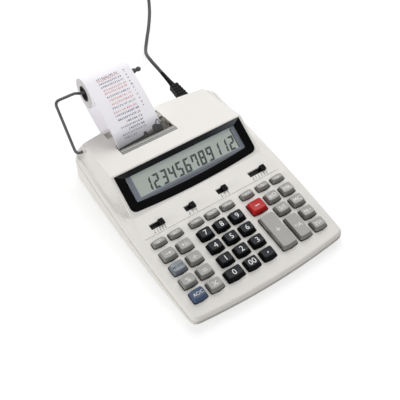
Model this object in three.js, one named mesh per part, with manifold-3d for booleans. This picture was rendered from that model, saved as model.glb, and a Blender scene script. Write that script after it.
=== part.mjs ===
// Desktop printing calculator: a tilted key deck, a display pod, a printer hump with a
// paper roll carried on a wire arm behind it, and a power lead coiled at its far end.
// Lengths are in millimetres. The floor frame has x to the right, y to the back and z up.
// The deck frame is tilted by deck_tilt: its x runs to the right from the centre line, its
// y runs back along the deck from the back edge of the first full row of keys, and its z
// stands out of the deck.

import * as THREE from 'three';
import { mergeVertices } from 'three/addons/utils/BufferGeometryUtils.js';
import Module from 'manifold-3d';

const wasm = await Module();
wasm.setup();

// Driving dimensions of the case
const deck_tilt = THREE.MathUtils.degToRad(5.5);
const deck_origin_height = 20.2;
const front_middle_y = -86.4;
const front_corner_reach = 7.9;
const front_corner_y = -81.6;
const side_front_taper = 0.3;
const side_front_y = -73;
const side_bulge = 3;
const side_rear_x = 95.4;
const side_rear_y = 147;
const rear_corner_reach = 17.4;
const rear_corner_y = 165.6;
const rear_middle_y = 172.6;
const case_wall = 2.4;
const shoulder_radius = 3.4;
const seam_z = -5.2;
const seam_gap = 0.8;
const lower_outset = 0.6;
const lower_wall = 2.5;
const lower_floor = 2.2;
const lower_edge_radius = 2;
const tongue_wall = 1.3;
const tongue_rise = 1.6;
const overrun = 2;
const seat_gap = 0.3;

// Driving dimensions of the hump and the display pod
const slope_foot_y = 50.6;
const slope_angle = THREE.MathUtils.degToRad(27.4);
const slope_length = 49.2;
const hump_rear_z = 3;
const hump_front_margin = 10.4;
const hump_rear_margin = 13.4;
const flare_foot_margin = 1.4;
const flare_power = 2.6;
const flare_steps = 7;
const hump_edge = 1.2;

// Driving dimensions of the display
const bezel_side_margin = 4.2;
const bezel_top = 46.8;
const bezel_corner_v = 4.6;
const bezel_bow = 3.2;
const bezel_corner_radius = 7;
const bezel_thickness = 2;
const bezel_proud = 0.4;
const bezel_rim = 1.6;
const window_recess = 1.2;
const window_side_margin = 8.8;
const window_low = 12;
const window_high = 41.5;
const pod_slab = 5.5;
const lcd_margin = 4;
const lcd_thickness = 3;
const lcd_side_margin = 8;
const lcd_glass_low = 14;
const lcd_glass_high = 40.5;
const lcd_glass_depth = 0.8;

// Driving dimensions of the keys
const key_width = 16.6;
const key_depth = 13;
const key_pitch_x = 20;
const key_pitch_y = 17.74;
const left_block_x = -84.75;
const number_block_x = -39.15;
const sign_column_x = 25.25;
const right_block_x = 47.95;
const sign_key_width = 19.4;
const minus_key_depth = 15.7;
const plus_key_back_y = -21.3;
const zero_key_extra = 4.3;
const small_key_y = 14.7;
const small_key_depth = 8.2;
const key_height = 5.4;
const small_key_height = 4.6;
const key_clearance = 0.4;
const key_flange = 0.9;
const key_flange_thickness = 1.2;
const key_corner = 1.6;
const key_bow = 0.9;
const key_side_inset = 1.9;
const key_front_inset = 3.1;
const key_back_inset = 0.9;
const key_edge = 1;
const key_travel = 2.4;

// Driving dimensions of the slide switches
const switch_y = 31.4;
const switch_slot_width = 7;
const switch_end_gap = 1;
const switch_knob_length = 5.4;
const switch_knob_rise = 3.6;
const knob_shoulder_share = 0.8;
const knob_dip_radius = 3;
const knob_dip_depth = 0.8;
const switch_slots = {
  switch_round: { left: -74.3, length: 17 },
  switch_item: { left: -31.4, length: 13.2 },
  switch_total: { left: 10.2, length: 13.4 },
  switch_decimal: { left: 53.3, length: 22.4 },
};
const groove_y = 21;
const groove_side_margin = 8.9;
const groove_size = 0.5;

// Driving dimensions of the printer
const opening_left_margin = 1;
const opening_drive_room = 12.6;
const opening_front_y = 116.8;
const opening_back_y = 162;
const tear_bar_depth = 8.8;
const tear_bar_thickness = 1.5;
const tear_bar_tooth = 2.2;
const tear_bar_tooth_depth = 0.9;
const platen_y = 130;
const platen_z = 5.4;
const platen_radius = 6;
const platen_shaft_radius = 2;
const platen_gear_radius = 6.4;
const platen_gear_width = 4;
const platen_gear_teeth = 18;
const platen_gear_tooth = 1.1;
const frame_wall = 2;
const frame_floor_z = -14;
const paper_width = 57;
const paper_left = -54;
const paper_thickness = 0.35;
const feed_slot_height = 4.4;
const feed_slot_z = -1.4;
const feed_slot_margin = 3.2;
const tape_leave_arch = THREE.MathUtils.degToRad(13);
const tape_meet_arch = THREE.MathUtils.degToRad(8);

// Driving dimensions of the roll and its arm
const roll_y = 202.5;
const roll_z = 34;
const roll_radius = 18;
const core_radius = 8;
const core_wall = 1.3;
const core_lip = 0.6;
const wire_radius = 1.65;
const wire_bend = 6;
const wire_kink_bend = 3;
const arm_pivot_y = 153;
const arm_pivot_z = 4.5;
const arm_inner_reach = 8;
const arm_outer_reach = 11.5;
const arm_lean = 3;
const arm_top_rise = 4.2;
const arm_kink_x = -66;
const arm_kink_length = 7;
const arm_tip_x = 15;
const arm_tip_radius = 3.2;
const tip_stretch_share = 1.1;
const tip_end_share = 0.9;
const tip_neck_share = 0.7;
const arm_contact_angle = THREE.MathUtils.degToRad(115);
const boss_radius = 3.7;
const boss_rise = 1.6;

// Driving dimensions of the feet, the board and the power connector
const foot_radius = 6.5;
const foot_height = 1.5;
const foot_recess = 0.9;
const foot_top_share = 0.86;
const foot_side_margin = 15.7;
const foot_front_margin = 15.6;
const foot_rear_margin = 9;
const board_side_margin = 7.7;
const board_front_margin = 9.6;
const board_rear_margin = 10.6;
const board_thickness = 1.6;
const mat_thickness = 0.8;
const post_radius = 3;
const plug_corner_margin = 15.6;
const plug_z = -10.4;
const plug_width = 13.8;
const plug_end_width = 10.6;
const plug_height = 8;
const plug_length = 28;
const plug_insert = 6;
const plug_rib_count = 5;
const plug_rib_depth = 0.7;
const plug_rib_share = 0.75;
const relief_length = 26;
const relief_radius = 3.5;

// Driving dimensions of the power lead, its coil and the mains plug
const cord_radius = 2.3;
const cord_sides = 8;
const cord_steps = 34;
const cord_heading = THREE.MathUtils.degToRad(69);
const coil_turns = 9.25;
const coil_layers = 4;
const coil_middle_radius = 25.7;
const coil_pitch = 5.4;
const coil_rise = 5.4;
const coil_climb_turns = 0.5;
const coil_steps_per_turn = 24;
const coil_sides = 6;
const coil_tail = 50.6;
const coil_tail_steps = 6;
const mains_body_length = 34;
const mains_body_width = 26;
const mains_body_height = 14;
const mains_pin_length = 19;
const mains_pin_radius = 2.2;
const mains_pin_pitch = 19;
const mains_neck_share = 0.45;
const mains_shoulder_share = 0.6;
const mains_bevel_share = 1 / 7;

// How finely the round pieces are cut
const small_sides = 12;
const round_sides = 20;
const roll_sides = 36;
const over_platen_steps = 12;
const over_roll_steps = 14;
const leave_roll_steps = 4;
const tape_steps = 8;
const feed_steps = 5;

// Sizes worked out from the driving dimensions
const front_corner_x = side_rear_x - front_corner_reach;
const side_front_x = side_rear_x + side_front_taper;
const side_middle_x = side_rear_x + side_bulge;
const rear_corner_x = side_rear_x - rear_corner_reach;
const groove_half = side_rear_x - groove_side_margin;
const plug_x = rear_corner_x - plug_corner_margin;
const opening_left = paper_left - opening_left_margin;
const opening_right = paper_left + paper_width + opening_drive_room;
const hump_front_half = side_rear_x - hump_front_margin;
const hump_rear_half = side_rear_x - hump_rear_margin;
const flare_foot_x = side_rear_x - flare_foot_margin;
const bezel_half = hump_front_half - bezel_side_margin;
const window_half = bezel_half - window_side_margin;
const lcd_glass_half = window_half - lcd_side_margin;
const foot_x = side_front_x - foot_side_margin;
const foot_front_y = front_corner_y + foot_front_margin;
const foot_rear_y = side_rear_y - foot_rear_margin;
const board_half = side_front_x - board_side_margin;
const board_front_y = front_corner_y + board_front_margin;
const board_back_y = slope_foot_y - board_rear_margin;
const arm_inner_x = arm_inner_reach - hump_rear_half;
const arm_low_x = -(hump_rear_half + arm_outer_reach);
const arm_top_x = arm_low_x + arm_lean;
const ridge_y = slope_foot_y + slope_length * Math.cos(slope_angle);
const ridge_z = slope_length * Math.sin(slope_angle);
const hump_fall = (ridge_z - hump_rear_z) / (rear_middle_y - ridge_y);
const flange_top_z = -(case_wall + seat_gap);
const flange_bottom_z = flange_top_z - key_flange_thickness;
const mat_top_z = flange_bottom_z - key_travel - seat_gap;
const board_bottom_z = mat_top_z - mat_thickness - board_thickness;
const lower_top_z = seam_z - seam_gap;
const tape_radius = roll_radius + seat_gap + paper_thickness / 2;
const platen_wrap = platen_radius + seat_gap + paper_thickness / 2;
const arm_wire_reach = core_radius - wire_radius - seat_gap;
const arm_wire_y = roll_y + arm_wire_reach * Math.cos(arm_contact_angle);
const arm_wire_z = roll_z + arm_wire_reach * Math.sin(arm_contact_angle);

const paint = {
  case_white: { color: 0xece9e4, roughness: 0.5, metalness: 0 },
  black_gloss: { color: 0x0c0d0f, roughness: 0.15, metalness: 0 },
  lcd_green: { color: 0xb3bbb2, roughness: 0.4, metalness: 0 },
  board_green: { color: 0x2f6b45, roughness: 0.6, metalness: 0 },
  dark_plastic: { color: 0x2b2c2e, roughness: 0.5, metalness: 0 },
  black_rubber: { color: 0x151515, roughness: 0.8, metalness: 0 },
  grey_metal: { color: 0x8b8d8c, roughness: 0.45, metalness: 0.8 },
  dark_wire: { color: 0x4a4c4e, roughness: 0.45, metalness: 0.6 },
  paper: { color: 0xf4f2f4, roughness: 0.9, metalness: 0 },
  key_grey: { color: 0xa5a5a5, roughness: 0.45, metalness: 0 },
  key_black: { color: 0x2d3034, roughness: 0.4, metalness: 0 },
  key_red: { color: 0xcd3737, roughness: 0.4, metalness: 0 },
  key_blue: { color: 0x55698c, roughness: 0.4, metalness: 0 },
};

// Mesh and solid helpers

function makeMesh(name, geometry, finish) {
  const mesh = new THREE.Mesh(geometry, new THREE.MeshStandardMaterial(finish));
  mesh.name = name;
  return mesh;
}

function toSolid(geometry) {
  const bare = geometry.clone();
  bare.deleteAttribute('normal');
  bare.deleteAttribute('uv');
  bare.clearGroups();
  const merged = mergeVertices(bare, 1e-4);
  return new wasm.Manifold(new wasm.Mesh({
    numProp: 3,
    vertProperties: new Float32Array(merged.attributes.position.array),
    triVerts: new Uint32Array(merged.index.array),
  }));
}

function toGeometry(solid) {
  const mesh = solid.getMesh();
  const geometry = new THREE.BufferGeometry();
  geometry.setAttribute('position', new THREE.BufferAttribute(mesh.vertProperties, mesh.numProp));
  geometry.setIndex(new THREE.BufferAttribute(mesh.triVerts, 1));
  geometry.computeVertexNormals();
  return geometry;
}

function join(solids) {
  return solids.reduce((whole, piece) => whole.add(piece));
}

function cut(solid, tools) {
  return tools.reduce((whole, tool) => whole.subtract(tool), solid);
}

// A closed solid through rings of equal point counts. The rings run anticlockwise when
// seen from where the list ends, and flat() gives the two coordinates of an end face.
function ringSolid(rings, flat) {
  const count = rings[0].length;
  const positions = rings.flat().flatMap((point) => [point.x, point.y, point.z]);
  const index = [];
  for (let ring = 0; ring + 1 < rings.length; ring += 1) {
    for (let i = 0; i < count; i += 1) {
      const a = ring * count + i;
      const b = ring * count + (i + 1) % count;
      index.push(a, b, b + count, a, b + count, a + count);
    }
  }
  const last = (rings.length - 1) * count;
  const faces = THREE.ShapeUtils.triangulateShape(rings[0].map(flat), []);
  const turned = THREE.ShapeUtils.isClockWise(rings[0].map(flat));
  for (const [a, b, c] of faces) {
    index.push(...(turned ? [a, b, c] : [a, c, b]));
  }
  const end_faces = THREE.ShapeUtils.triangulateShape(rings.at(-1).map(flat), []);
  for (const [a, b, c] of end_faces) {
    index.push(...(turned ? [last + a, last + c, last + b] : [last + a, last + b, last + c]));
  }
  const geometry = new THREE.BufferGeometry();
  geometry.setAttribute('position', new THREE.Float32BufferAttribute(positions, 3));
  geometry.setIndex(index);
  return geometry;
}

const seen_from_above = (point) => new THREE.Vector2(point.x, point.y);
const seen_from_front = (point) => new THREE.Vector2(point.x, point.z);

function box(x0, x1, y0, y1, z0, z1) {
  const geometry = new THREE.BoxGeometry(x1 - x0, y1 - y0, z1 - z0);
  geometry.translate((x0 + x1) / 2, (y0 + y1) / 2, (z0 + z1) / 2);
  return geometry;
}

// A cylinder along x, between two x places
function rodAlongX(radius, x0, x1, y, z, sides) {
  const geometry = new THREE.CylinderGeometry(radius, radius, x1 - x0, sides);
  geometry.rotateZ(-Math.PI / 2);
  geometry.translate((x0 + x1) / 2, y, z);
  return geometry;
}

// A side profile of (y, z) points, stretched along x
function extrudeAlongX(points, x0, x1) {
  const shape = new THREE.Shape(points.map(([y, z]) => new THREE.Vector2(y, z)));
  const geometry = new THREE.ExtrudeGeometry(shape, { depth: x1 - x0, bevelEnabled: false });
  geometry.applyMatrix4(new THREE.Matrix4().makeBasis(
    new THREE.Vector3(0, 1, 0), new THREE.Vector3(0, 0, 1), new THREE.Vector3(1, 0, 0)));
  geometry.translate(x0, 0, 0);
  return geometry;
}

// The plan of the case

function caseOutline(inset) {
  const half = new THREE.Path();
  half.moveTo(0, front_middle_y);
  half.quadraticCurveTo(front_corner_x / 2, front_middle_y, front_corner_x, front_corner_y);
  const points = half.getPoints(6);
  const corner = new THREE.Path();
  corner.moveTo(front_corner_x, front_corner_y);
  const front_slope = 2 * (front_corner_y - front_middle_y) / front_corner_x;
  const front_reach = side_front_x - front_corner_x;
  corner.quadraticCurveTo(
    side_front_x, front_corner_y + front_slope * front_reach, side_front_x, side_front_y);
  points.push(...corner.getPoints(4).slice(1));
  const side = new THREE.Path();
  side.moveTo(side_front_x, side_front_y);
  side.quadraticCurveTo(2 * side_middle_x - (side_front_x + side_rear_x) / 2,
    (side_front_y + side_rear_y) / 2, side_rear_x, side_rear_y);
  points.push(...side.getPoints(7).slice(1));
  const rear_corner = new THREE.Path();
  rear_corner.moveTo(side_rear_x, side_rear_y);
  const rear_slope = 2 * (rear_middle_y - rear_corner_y) / rear_corner_x;
  rear_corner.quadraticCurveTo(side_rear_x, rear_corner_y - rear_slope * (side_rear_x - rear_corner_x),
    rear_corner_x, rear_corner_y);
  points.push(...rear_corner.getPoints(5).slice(1));
  const rear = new THREE.Path();
  rear.moveTo(rear_corner_x, rear_corner_y);
  rear.quadraticCurveTo(rear_corner_x / 2, rear_middle_y, 0, rear_middle_y);
  points.push(...rear.getPoints(5).slice(1));
  const mirrored = points.slice(1, -1).reverse().map((point) => new THREE.Vector2(-point.x, point.y));
  return insetOutline([...points, ...mirrored], inset);
}

// Moves each point of an anticlockwise outline inwards, square to its two neighbours
function insetOutline(points, inset) {
  const count = points.length;
  return points.map((point, i) => {
    const before = points[(i + count - 1) % count];
    const after = points[(i + 1) % count];
    const along = after.clone().sub(before).normalize();
    return new THREE.Vector2(point.x - along.y * inset, point.y + along.x * inset);
  });
}

// One ring of the case, level in the deck frame or at a height above the floor
function caseRing(inset, z) {
  return caseOutline(inset).map(({ x, y }) => new THREE.Vector3(x, y, z));
}

function floorRing(inset, height) {
  return caseOutline(inset).map(({ x, y }) => new THREE.Vector3(x, y, deckZAtHeight(y, height)));
}

function deckZAtHeight(y, height) {
  return (height - deck_origin_height - y * Math.sin(deck_tilt)) / Math.cos(deck_tilt);
}

// The hump: one cross-section for each station along y, with flat top and flared sides

function humpTopZ(y) {
  return ridge_z - hump_fall * (y - ridge_y);
}

function humpSection(y, top_z, inset, foot_z) {
  const back_share = THREE.MathUtils.clamp((y - ridge_y) / (side_rear_y - ridge_y), 0, 1);
  const top_half = THREE.MathUtils.lerp(hump_front_half, hump_rear_half, back_share) - inset;
  const foot_half = flare_foot_x - inset;
  const height = top_z - inset;
  const right = [[foot_half, foot_z]];
  for (let i = 0; i <= flare_steps; i += 1) {
    const share = i / flare_steps;
    const x = THREE.MathUtils.lerp(foot_half, top_half, share);
    right.push([x, Math.max(height, foot_z + hump_edge) * share ** flare_power - hump_edge * share]);
  }
  right.push([top_half - hump_edge, height]);
  const left = right.slice().reverse().map(([x, z]) => [-x, z]);
  return [...right, ...left].map(([x, z]) => new THREE.Vector3(x, y, z));
}

function humpSolid(inset) {
  const foot_z = seam_z + seat_gap - inset;
  const front_y = slope_foot_y - overrun + inset * Math.tan(slope_angle / 2);
  const stations = [
    [front_y, (front_y - slope_foot_y) * Math.tan(slope_angle)],
    [ridge_y - hump_edge, ridge_z - hump_edge * Math.tan(slope_angle)],
    [ridge_y + hump_edge, humpTopZ(ridge_y + hump_edge)],
    [(ridge_y + side_rear_y) / 2, humpTopZ((ridge_y + side_rear_y) / 2)],
    [side_rear_y, humpTopZ(side_rear_y)],
    [rear_middle_y + overrun, humpTopZ(rear_middle_y + overrun)],
  ];
  const rings = stations.map(([y, top_z]) => humpSection(y, top_z, inset, foot_z));
  return toSolid(ringSolid(rings.reverse(), seen_from_front));
}

// The walls behind the hump follow the plan of the case, and roll in towards their top
function humpPlan(inset) {
  const edge_shares = [[0, 0.1], [0.5, 0.16], [0.74, 0.28], [0.9, 0.5], [1, 0.85]];
  const rings = edge_shares.map(([rise, roll]) => caseRing(
    inset + shoulder_radius * roll, seam_z + (hump_rear_z - seam_z) * rise));
  rings.unshift(caseRing(inset + shoulder_radius * edge_shares[0][1], seam_z - overrun));
  rings.push(caseRing(inset + shoulder_radius, hump_rear_z + hump_edge));
  rings.push(caseRing(inset + shoulder_radius, ridge_z + overrun));
  return toSolid(ringSolid(rings, seen_from_above));
}

// The frame of the display pod: x as in the deck frame, y up the slope, z out of it
const pod_matrix = new THREE.Matrix4().makeRotationX(slope_angle).setPosition(0, slope_foot_y, 0);

function inPod(geometry) {
  return geometry.applyMatrix4(pod_matrix);
}

// The bezel's outline: sharp at the top, round at the bottom corners, bowed at the bottom
function bezelShape(grow) {
  const half = bezel_half + grow;
  const low = bezel_corner_v - grow;
  const radius = bezel_corner_radius;
  const shape = new THREE.Shape();
  shape.moveTo(-half, bezel_top + grow);
  shape.lineTo(-half, low + radius);
  shape.quadraticCurveTo(-half, low, radius - half, low - bezel_bow / radius);
  shape.quadraticCurveTo(0, low - 2 * bezel_bow, half - radius, low - bezel_bow / radius);
  shape.quadraticCurveTo(half, low, half, low + radius);
  shape.lineTo(half, bezel_top + grow);
  return shape;
}

function bezelGeometry(grow, thickness, bevel) {
  return new THREE.ExtrudeGeometry(bezelShape(grow - bevel), {
    depth: thickness - bevel, bevelEnabled: bevel > 0, bevelThickness: bevel, bevelSize: bevel,
    bevelSegments: 1, curveSegments: 7,
  });
}

// The keys

// A ring of a key: a rectangle with round corners and a bowed front edge
function keyRing(half, back, front, bow, z) {
  const radius = key_corner;
  const corners = [
    [half - radius, back - radius, 0],
    [radius - half, back - radius, 1],
    [radius - half, front + radius, 2],
    [half - radius, front + radius, 3],
  ];
  const points = [];
  for (const [x, y, turn] of corners) {
    for (let i = 0; i <= 2; i += 1) {
      const angle = (turn + i / 2) * Math.PI / 2;
      points.push(new THREE.Vector3(x + radius * Math.cos(angle), y + radius * Math.sin(angle), z));
    }
    if (turn === 2) {
      points.push(new THREE.Vector3(0, front - bow, z));
    }
  }
  return points;
}

// A key with its back edge at y = 0, and the flange below the deck that keeps it in
function keyGeometry(width, depth, height) {
  const half = width / 2;
  const rise = height - key_edge;
  const neck = rise / height;
  const rings = [
    keyRing(half + key_flange, key_flange, -depth - key_flange, key_bow, flange_bottom_z),
    keyRing(half + key_flange, key_flange, -depth - key_flange, key_bow, flange_top_z),
    keyRing(half, 0, -depth, key_bow, flange_top_z),
    keyRing(half - key_side_inset * neck * neck, -key_back_inset * neck * neck,
      key_front_inset * neck * neck - depth, key_bow, rise),
    keyRing(half - key_side_inset, -key_back_inset, key_front_inset - depth, key_bow, height),
  ];
  return ringSolid(rings, seen_from_above);
}

function keyHole(key) {
  const half = key.width / 2 + key_clearance;
  const rings = [-case_wall - overrun, overrun].map((z) => keyRing(
    half, key_clearance, -key.depth - key_clearance, key_bow, z));
  const geometry = ringSolid(rings, seen_from_above);
  geometry.translate(key.x, key.y, 0);
  return toSolid(geometry);
}

function listKeys() {
  const keys = [];
  const add = (name, left, back, width, depth, height, finish) => {
    keys.push({ name, x: left + width / 2, y: back, width, depth, height, finish });
  };
  const rowBack = (row) => -row * key_pitch_y;
  const small_columns = [
    left_block_x, left_block_x + key_pitch_x,
    number_block_x, number_block_x + key_pitch_x, number_block_x + 2 * key_pitch_x,
    sign_column_x + (sign_key_width - key_width) / 2,
    right_block_x, right_block_x + key_pitch_x,
  ];
  small_columns.forEach((left, i) => {
    add(`key_top_${i + 1}`, left, small_key_y, key_width, small_key_depth,
      small_key_height, paint.key_grey);
  });
  for (let row = 0; row < 4; row += 1) {
    const first_finish = row === 3 ? paint.key_blue : paint.key_grey;
    add(`key_left_a${row + 1}`, left_block_x, rowBack(row), key_width, key_depth,
      key_height, first_finish);
    add(`key_left_b${row + 1}`, left_block_x + key_pitch_x, rowBack(row), key_width,
      key_depth, key_height, paint.key_grey);
  }
  const number_names = [['7', '8', '9'], ['4', '5', '6'], ['1', '2', '3'], ['0', '00', 'point']];
  number_names.forEach((names, row) => names.forEach((name, column) => {
    const extra = name === '0' ? zero_key_extra : 0;
    add(`key_${name}`, number_block_x + column * key_pitch_x - extra, rowBack(row),
      key_width + extra, key_depth, key_height, paint.key_black);
  }));
  const front_y = rowBack(3) - key_depth;
  add('key_minus', sign_column_x, 0, sign_key_width, minus_key_depth, key_height, paint.key_red);
  add('key_plus', sign_column_x, plus_key_back_y, sign_key_width,
    plus_key_back_y - front_y, key_height, paint.key_grey);
  add('key_right_c1', right_block_x, rowBack(0), key_width, key_depth, key_height, paint.key_grey);
  add('key_right_c2', right_block_x, rowBack(1), key_width, key_depth, key_height, paint.key_grey);
  add('key_total', right_block_x, rowBack(2), key_width, rowBack(2) - front_y,
    key_height, paint.key_grey);
  for (let row = 0; row < 4; row += 1) {
    add(`key_memory_${row + 1}`, right_block_x + key_pitch_x, rowBack(row), key_width,
      key_depth, key_height, paint.key_grey);
  }
  return keys;
}

// The upper case: deck, pod and hump in one shell

function upperCaseOuter() {
  const drop_shares = [[1, 0.06], [0.86, 0], [0.42, 0.14], [0.16, 0.4], [0.04, 0.7], [0, 1]];
  const rings = drop_shares.map(([drop, inset]) => caseRing(inset * shoulder_radius, drop * seam_z));
  const deck_block = toSolid(ringSolid(rings, seen_from_above));
  return deck_block.add(humpSolid(0).intersect(humpPlan(0)));
}

function upperCaseInner() {
  const rings = [
    caseRing(case_wall + seat_gap, seam_z - overrun),
    caseRing(case_wall + seat_gap, (seam_z - case_wall) / 2),
    caseRing(case_wall + shoulder_radius / 2, -case_wall),
  ];
  const deck_room = toSolid(ringSolid(rings, seen_from_above));
  return deck_room.add(humpSolid(case_wall).intersect(humpPlan(case_wall)));
}

function switchSlotSolid(slot, grow, z0, z1) {
  return toSolid(box(slot.left - grow, slot.left + slot.length + grow,
    switch_y - switch_slot_width / 2 - grow, switch_y + switch_slot_width / 2 + grow, z0, z1));
}

function upperCase(keys) {
  const outer = upperCaseOuter();
  const slab = toSolid(inPod(box(-bezel_half - case_wall, bezel_half + case_wall,
    -overrun, bezel_top + overrun, -pod_slab, overrun))).intersect(outer);
  const boss = toSolid(rodAlongX(boss_radius, -hump_rear_half - case_wall - boss_rise,
    -hump_rear_half + boss_rise, arm_pivot_y, arm_pivot_z, round_sides));
  let solid = join([outer.subtract(upperCaseInner()), slab, boss]);
  const pocket = inPod(bezelGeometry(seat_gap, bezel_thickness + overrun, 0)
    .translate(0, 0, bezel_proud - bezel_thickness - seat_gap));
  const view_hole = inPod(box(-window_half, window_half, window_low, window_high,
    -pod_slab - overrun, overrun));
  const fall_angle = Math.atan(hump_fall);
  const bar_pocket = box(opening_left - seat_gap, opening_right + seat_gap,
    0, tear_bar_depth + overrun, -tear_bar_thickness - seat_gap, overrun);
  bar_pocket.rotateX(-fall_angle);
  bar_pocket.translate(0, opening_front_y, humpTopZ(opening_front_y));
  const bar_back_y = opening_front_y + tear_bar_depth - case_wall;
  const opening = box(opening_left, opening_right, bar_back_y, opening_back_y,
    -case_wall, ridge_z + overrun);
  const feed_slot = box(paper_left - feed_slot_margin, paper_left + paper_width + feed_slot_margin,
    rear_corner_y - overrun, rear_middle_y + overrun,
    feed_slot_z - feed_slot_height / 2, feed_slot_z + feed_slot_height / 2);
  const arm_hole = rodAlongX(wire_radius + seat_gap, arm_low_x, arm_inner_x + overrun,
    arm_pivot_y, arm_pivot_z, small_sides);
  const groove = box(-groove_half, groove_half, groove_y - groove_size / 2,
    groove_y + groove_size / 2, -groove_size, overrun);
  const tools = [pocket, view_hole, bar_pocket, opening, feed_slot, arm_hole, groove].map(toSolid);
  for (const slot of Object.values(switch_slots)) {
    tools.push(switchSlotSolid(slot, 0, -case_wall - overrun, overrun));
  }
  solid = cut(solid, [...tools, ...keys.map(keyHole)]);
  return makeMesh('upper_case', toGeometry(solid), paint.case_white);
}

// The lower case: a tray with a tongue inside the upper case's rim

function onFloor(geometry, x, y) {
  geometry.rotateX(Math.PI / 2 - deck_tilt);
  return geometry.translate(x, y, deckZAtHeight(y, 0));
}

function footPlaces() {
  return [
    ['foot_front_left', -foot_x, foot_front_y],
    ['foot_front_right', foot_x, foot_front_y],
    ['foot_rear_left', -foot_x, foot_rear_y],
    ['foot_rear_right', foot_x, foot_rear_y],
  ];
}

// A lathe with its axis square to the floor, from a profile of (radius, height) points
function floorLathe(profile, x, y, sides) {
  const points = profile.map(([radius, height]) => new THREE.Vector2(radius, height));
  return onFloor(new THREE.LatheGeometry(points, sides), x, y);
}

function lowerCase() {
  const outer = toSolid(ringSolid([
    floorRing(lower_edge_radius - lower_outset, foot_height),
    floorRing(-lower_outset, foot_height + lower_edge_radius),
    caseRing(-lower_outset, lower_top_z - seam_gap),
    caseRing(0, lower_top_z),
  ], seen_from_above));
  const tongue_inset = case_wall + 2 * seat_gap;
  const tongue = toSolid(ringSolid([
    caseRing(tongue_inset, lower_top_z - seam_gap),
    caseRing(tongue_inset, seam_z + tongue_rise),
  ], seen_from_above));
  const shelf_z = lower_top_z - tongue_rise;
  const room = toSolid(ringSolid([
    floorRing(lower_wall - lower_outset, foot_height + lower_floor),
    caseRing(lower_wall - lower_outset, shelf_z),
  ], seen_from_above));
  const mouth = toSolid(ringSolid([
    caseRing(tongue_inset + tongue_wall, shelf_z - seam_gap),
    caseRing(tongue_inset + tongue_wall, overrun),
  ], seen_from_above));
  const posts = [];
  for (const x of [-board_half + 2 * post_radius, board_half - 2 * post_radius]) {
    for (const y of [board_front_y + 2 * post_radius, board_back_y - 2 * post_radius]) {
      const low = deckZAtHeight(y, foot_height + lower_floor / 2);
      const high = board_bottom_z - seat_gap;
      const post = new THREE.CylinderGeometry(post_radius, post_radius, high - low, small_sides);
      post.rotateX(Math.PI / 2);
      post.translate(x, y, (low + high) / 2);
      posts.push(toSolid(post));
    }
  }
  const plug_hole = box(plug_x - plug_width / 2 - seat_gap, plug_x + plug_width / 2 + seat_gap,
    rear_corner_y - lower_wall - 2 * overrun, rear_middle_y + overrun,
    plug_z - plug_height / 2 - seat_gap, overrun);
  const recesses = footPlaces().map(([, x, y]) => toSolid(floorLathe([
    [0, 0], [foot_radius + seat_gap, 0],
    [foot_radius + seat_gap, foot_height + foot_recess + seat_gap],
    [0, foot_height + foot_recess + seat_gap],
  ], x, y, round_sides)));
  const tray = cut(join([outer, tongue]), [room, mouth]);
  const solid = cut(join([tray, ...posts]), [toSolid(plug_hole), ...recesses]);
  return makeMesh('lower_case', toGeometry(solid), paint.case_white);
}

function feet() {
  return footPlaces().map(([name, x, y]) => {
    const geometry = floorLathe([
      [0, 0], [foot_radius * foot_top_share, 0], [foot_radius, foot_height / 2],
      [foot_radius, foot_height + foot_recess], [0, foot_height + foot_recess],
    ], x, y, round_sides);
    return makeMesh(name, geometry, paint.black_rubber);
  });
}

// The display

// The bands of the bezel slope in from a narrow rim to the sunk window
function displayWindow() {
  const slab = bezelGeometry(0, bezel_thickness, bezel_proud / 2);
  slab.translate(0, 0, bezel_proud - bezel_thickness);
  const depth = window_recess + bezel_proud;
  const rings = [0, 1 + bezel_proud / depth].map((share) => {
    const half = THREE.MathUtils.lerp(window_half, bezel_half - bezel_rim, share);
    const low = THREE.MathUtils.lerp(window_low, bezel_corner_v + bezel_rim, share);
    const high = THREE.MathUtils.lerp(window_high, bezel_top - bezel_rim, share);
    return [[-half, low], [half, low], [half, high], [-half, high]]
      .map(([x, y]) => new THREE.Vector3(x, y, depth * share - window_recess));
  });
  const solid = toSolid(slab).subtract(toSolid(ringSolid(rings, seen_from_above)));
  return makeMesh('display_window', inPod(toGeometry(solid)), paint.black_gloss);
}

function lcdPanel() {
  const top = -pod_slab - seat_gap;
  const plate = toSolid(box(-window_half - lcd_margin, window_half + lcd_margin,
    window_low - lcd_margin, window_high + lcd_margin, top - lcd_thickness, top));
  const rings = [[0, -lcd_glass_depth], [lcd_glass_depth * 2, overrun]].map(([grow, z]) => [
    [-lcd_glass_half - grow, lcd_glass_low - grow],
    [lcd_glass_half + grow, lcd_glass_low - grow],
    [lcd_glass_half + grow, lcd_glass_high + grow],
    [-lcd_glass_half - grow, lcd_glass_high + grow],
  ].map(([x, y]) => new THREE.Vector3(x, y, top + z)));
  const solid = plate.subtract(toSolid(ringSolid(rings, seen_from_above)));
  return makeMesh('lcd_panel', inPod(toGeometry(solid)), paint.lcd_green);
}

function mainBoard() {
  const board = toSolid(box(-board_half, board_half, board_front_y, board_back_y,
    board_bottom_z, board_bottom_z + board_thickness));
  const mat = toSolid(box(-board_half + post_radius, board_half - post_radius,
    board_front_y + post_radius, small_key_y + post_radius,
    board_bottom_z + board_thickness / 2, mat_top_z));
  return makeMesh('main_board', toGeometry(board.add(mat)), paint.board_green);
}

// The printer

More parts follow.
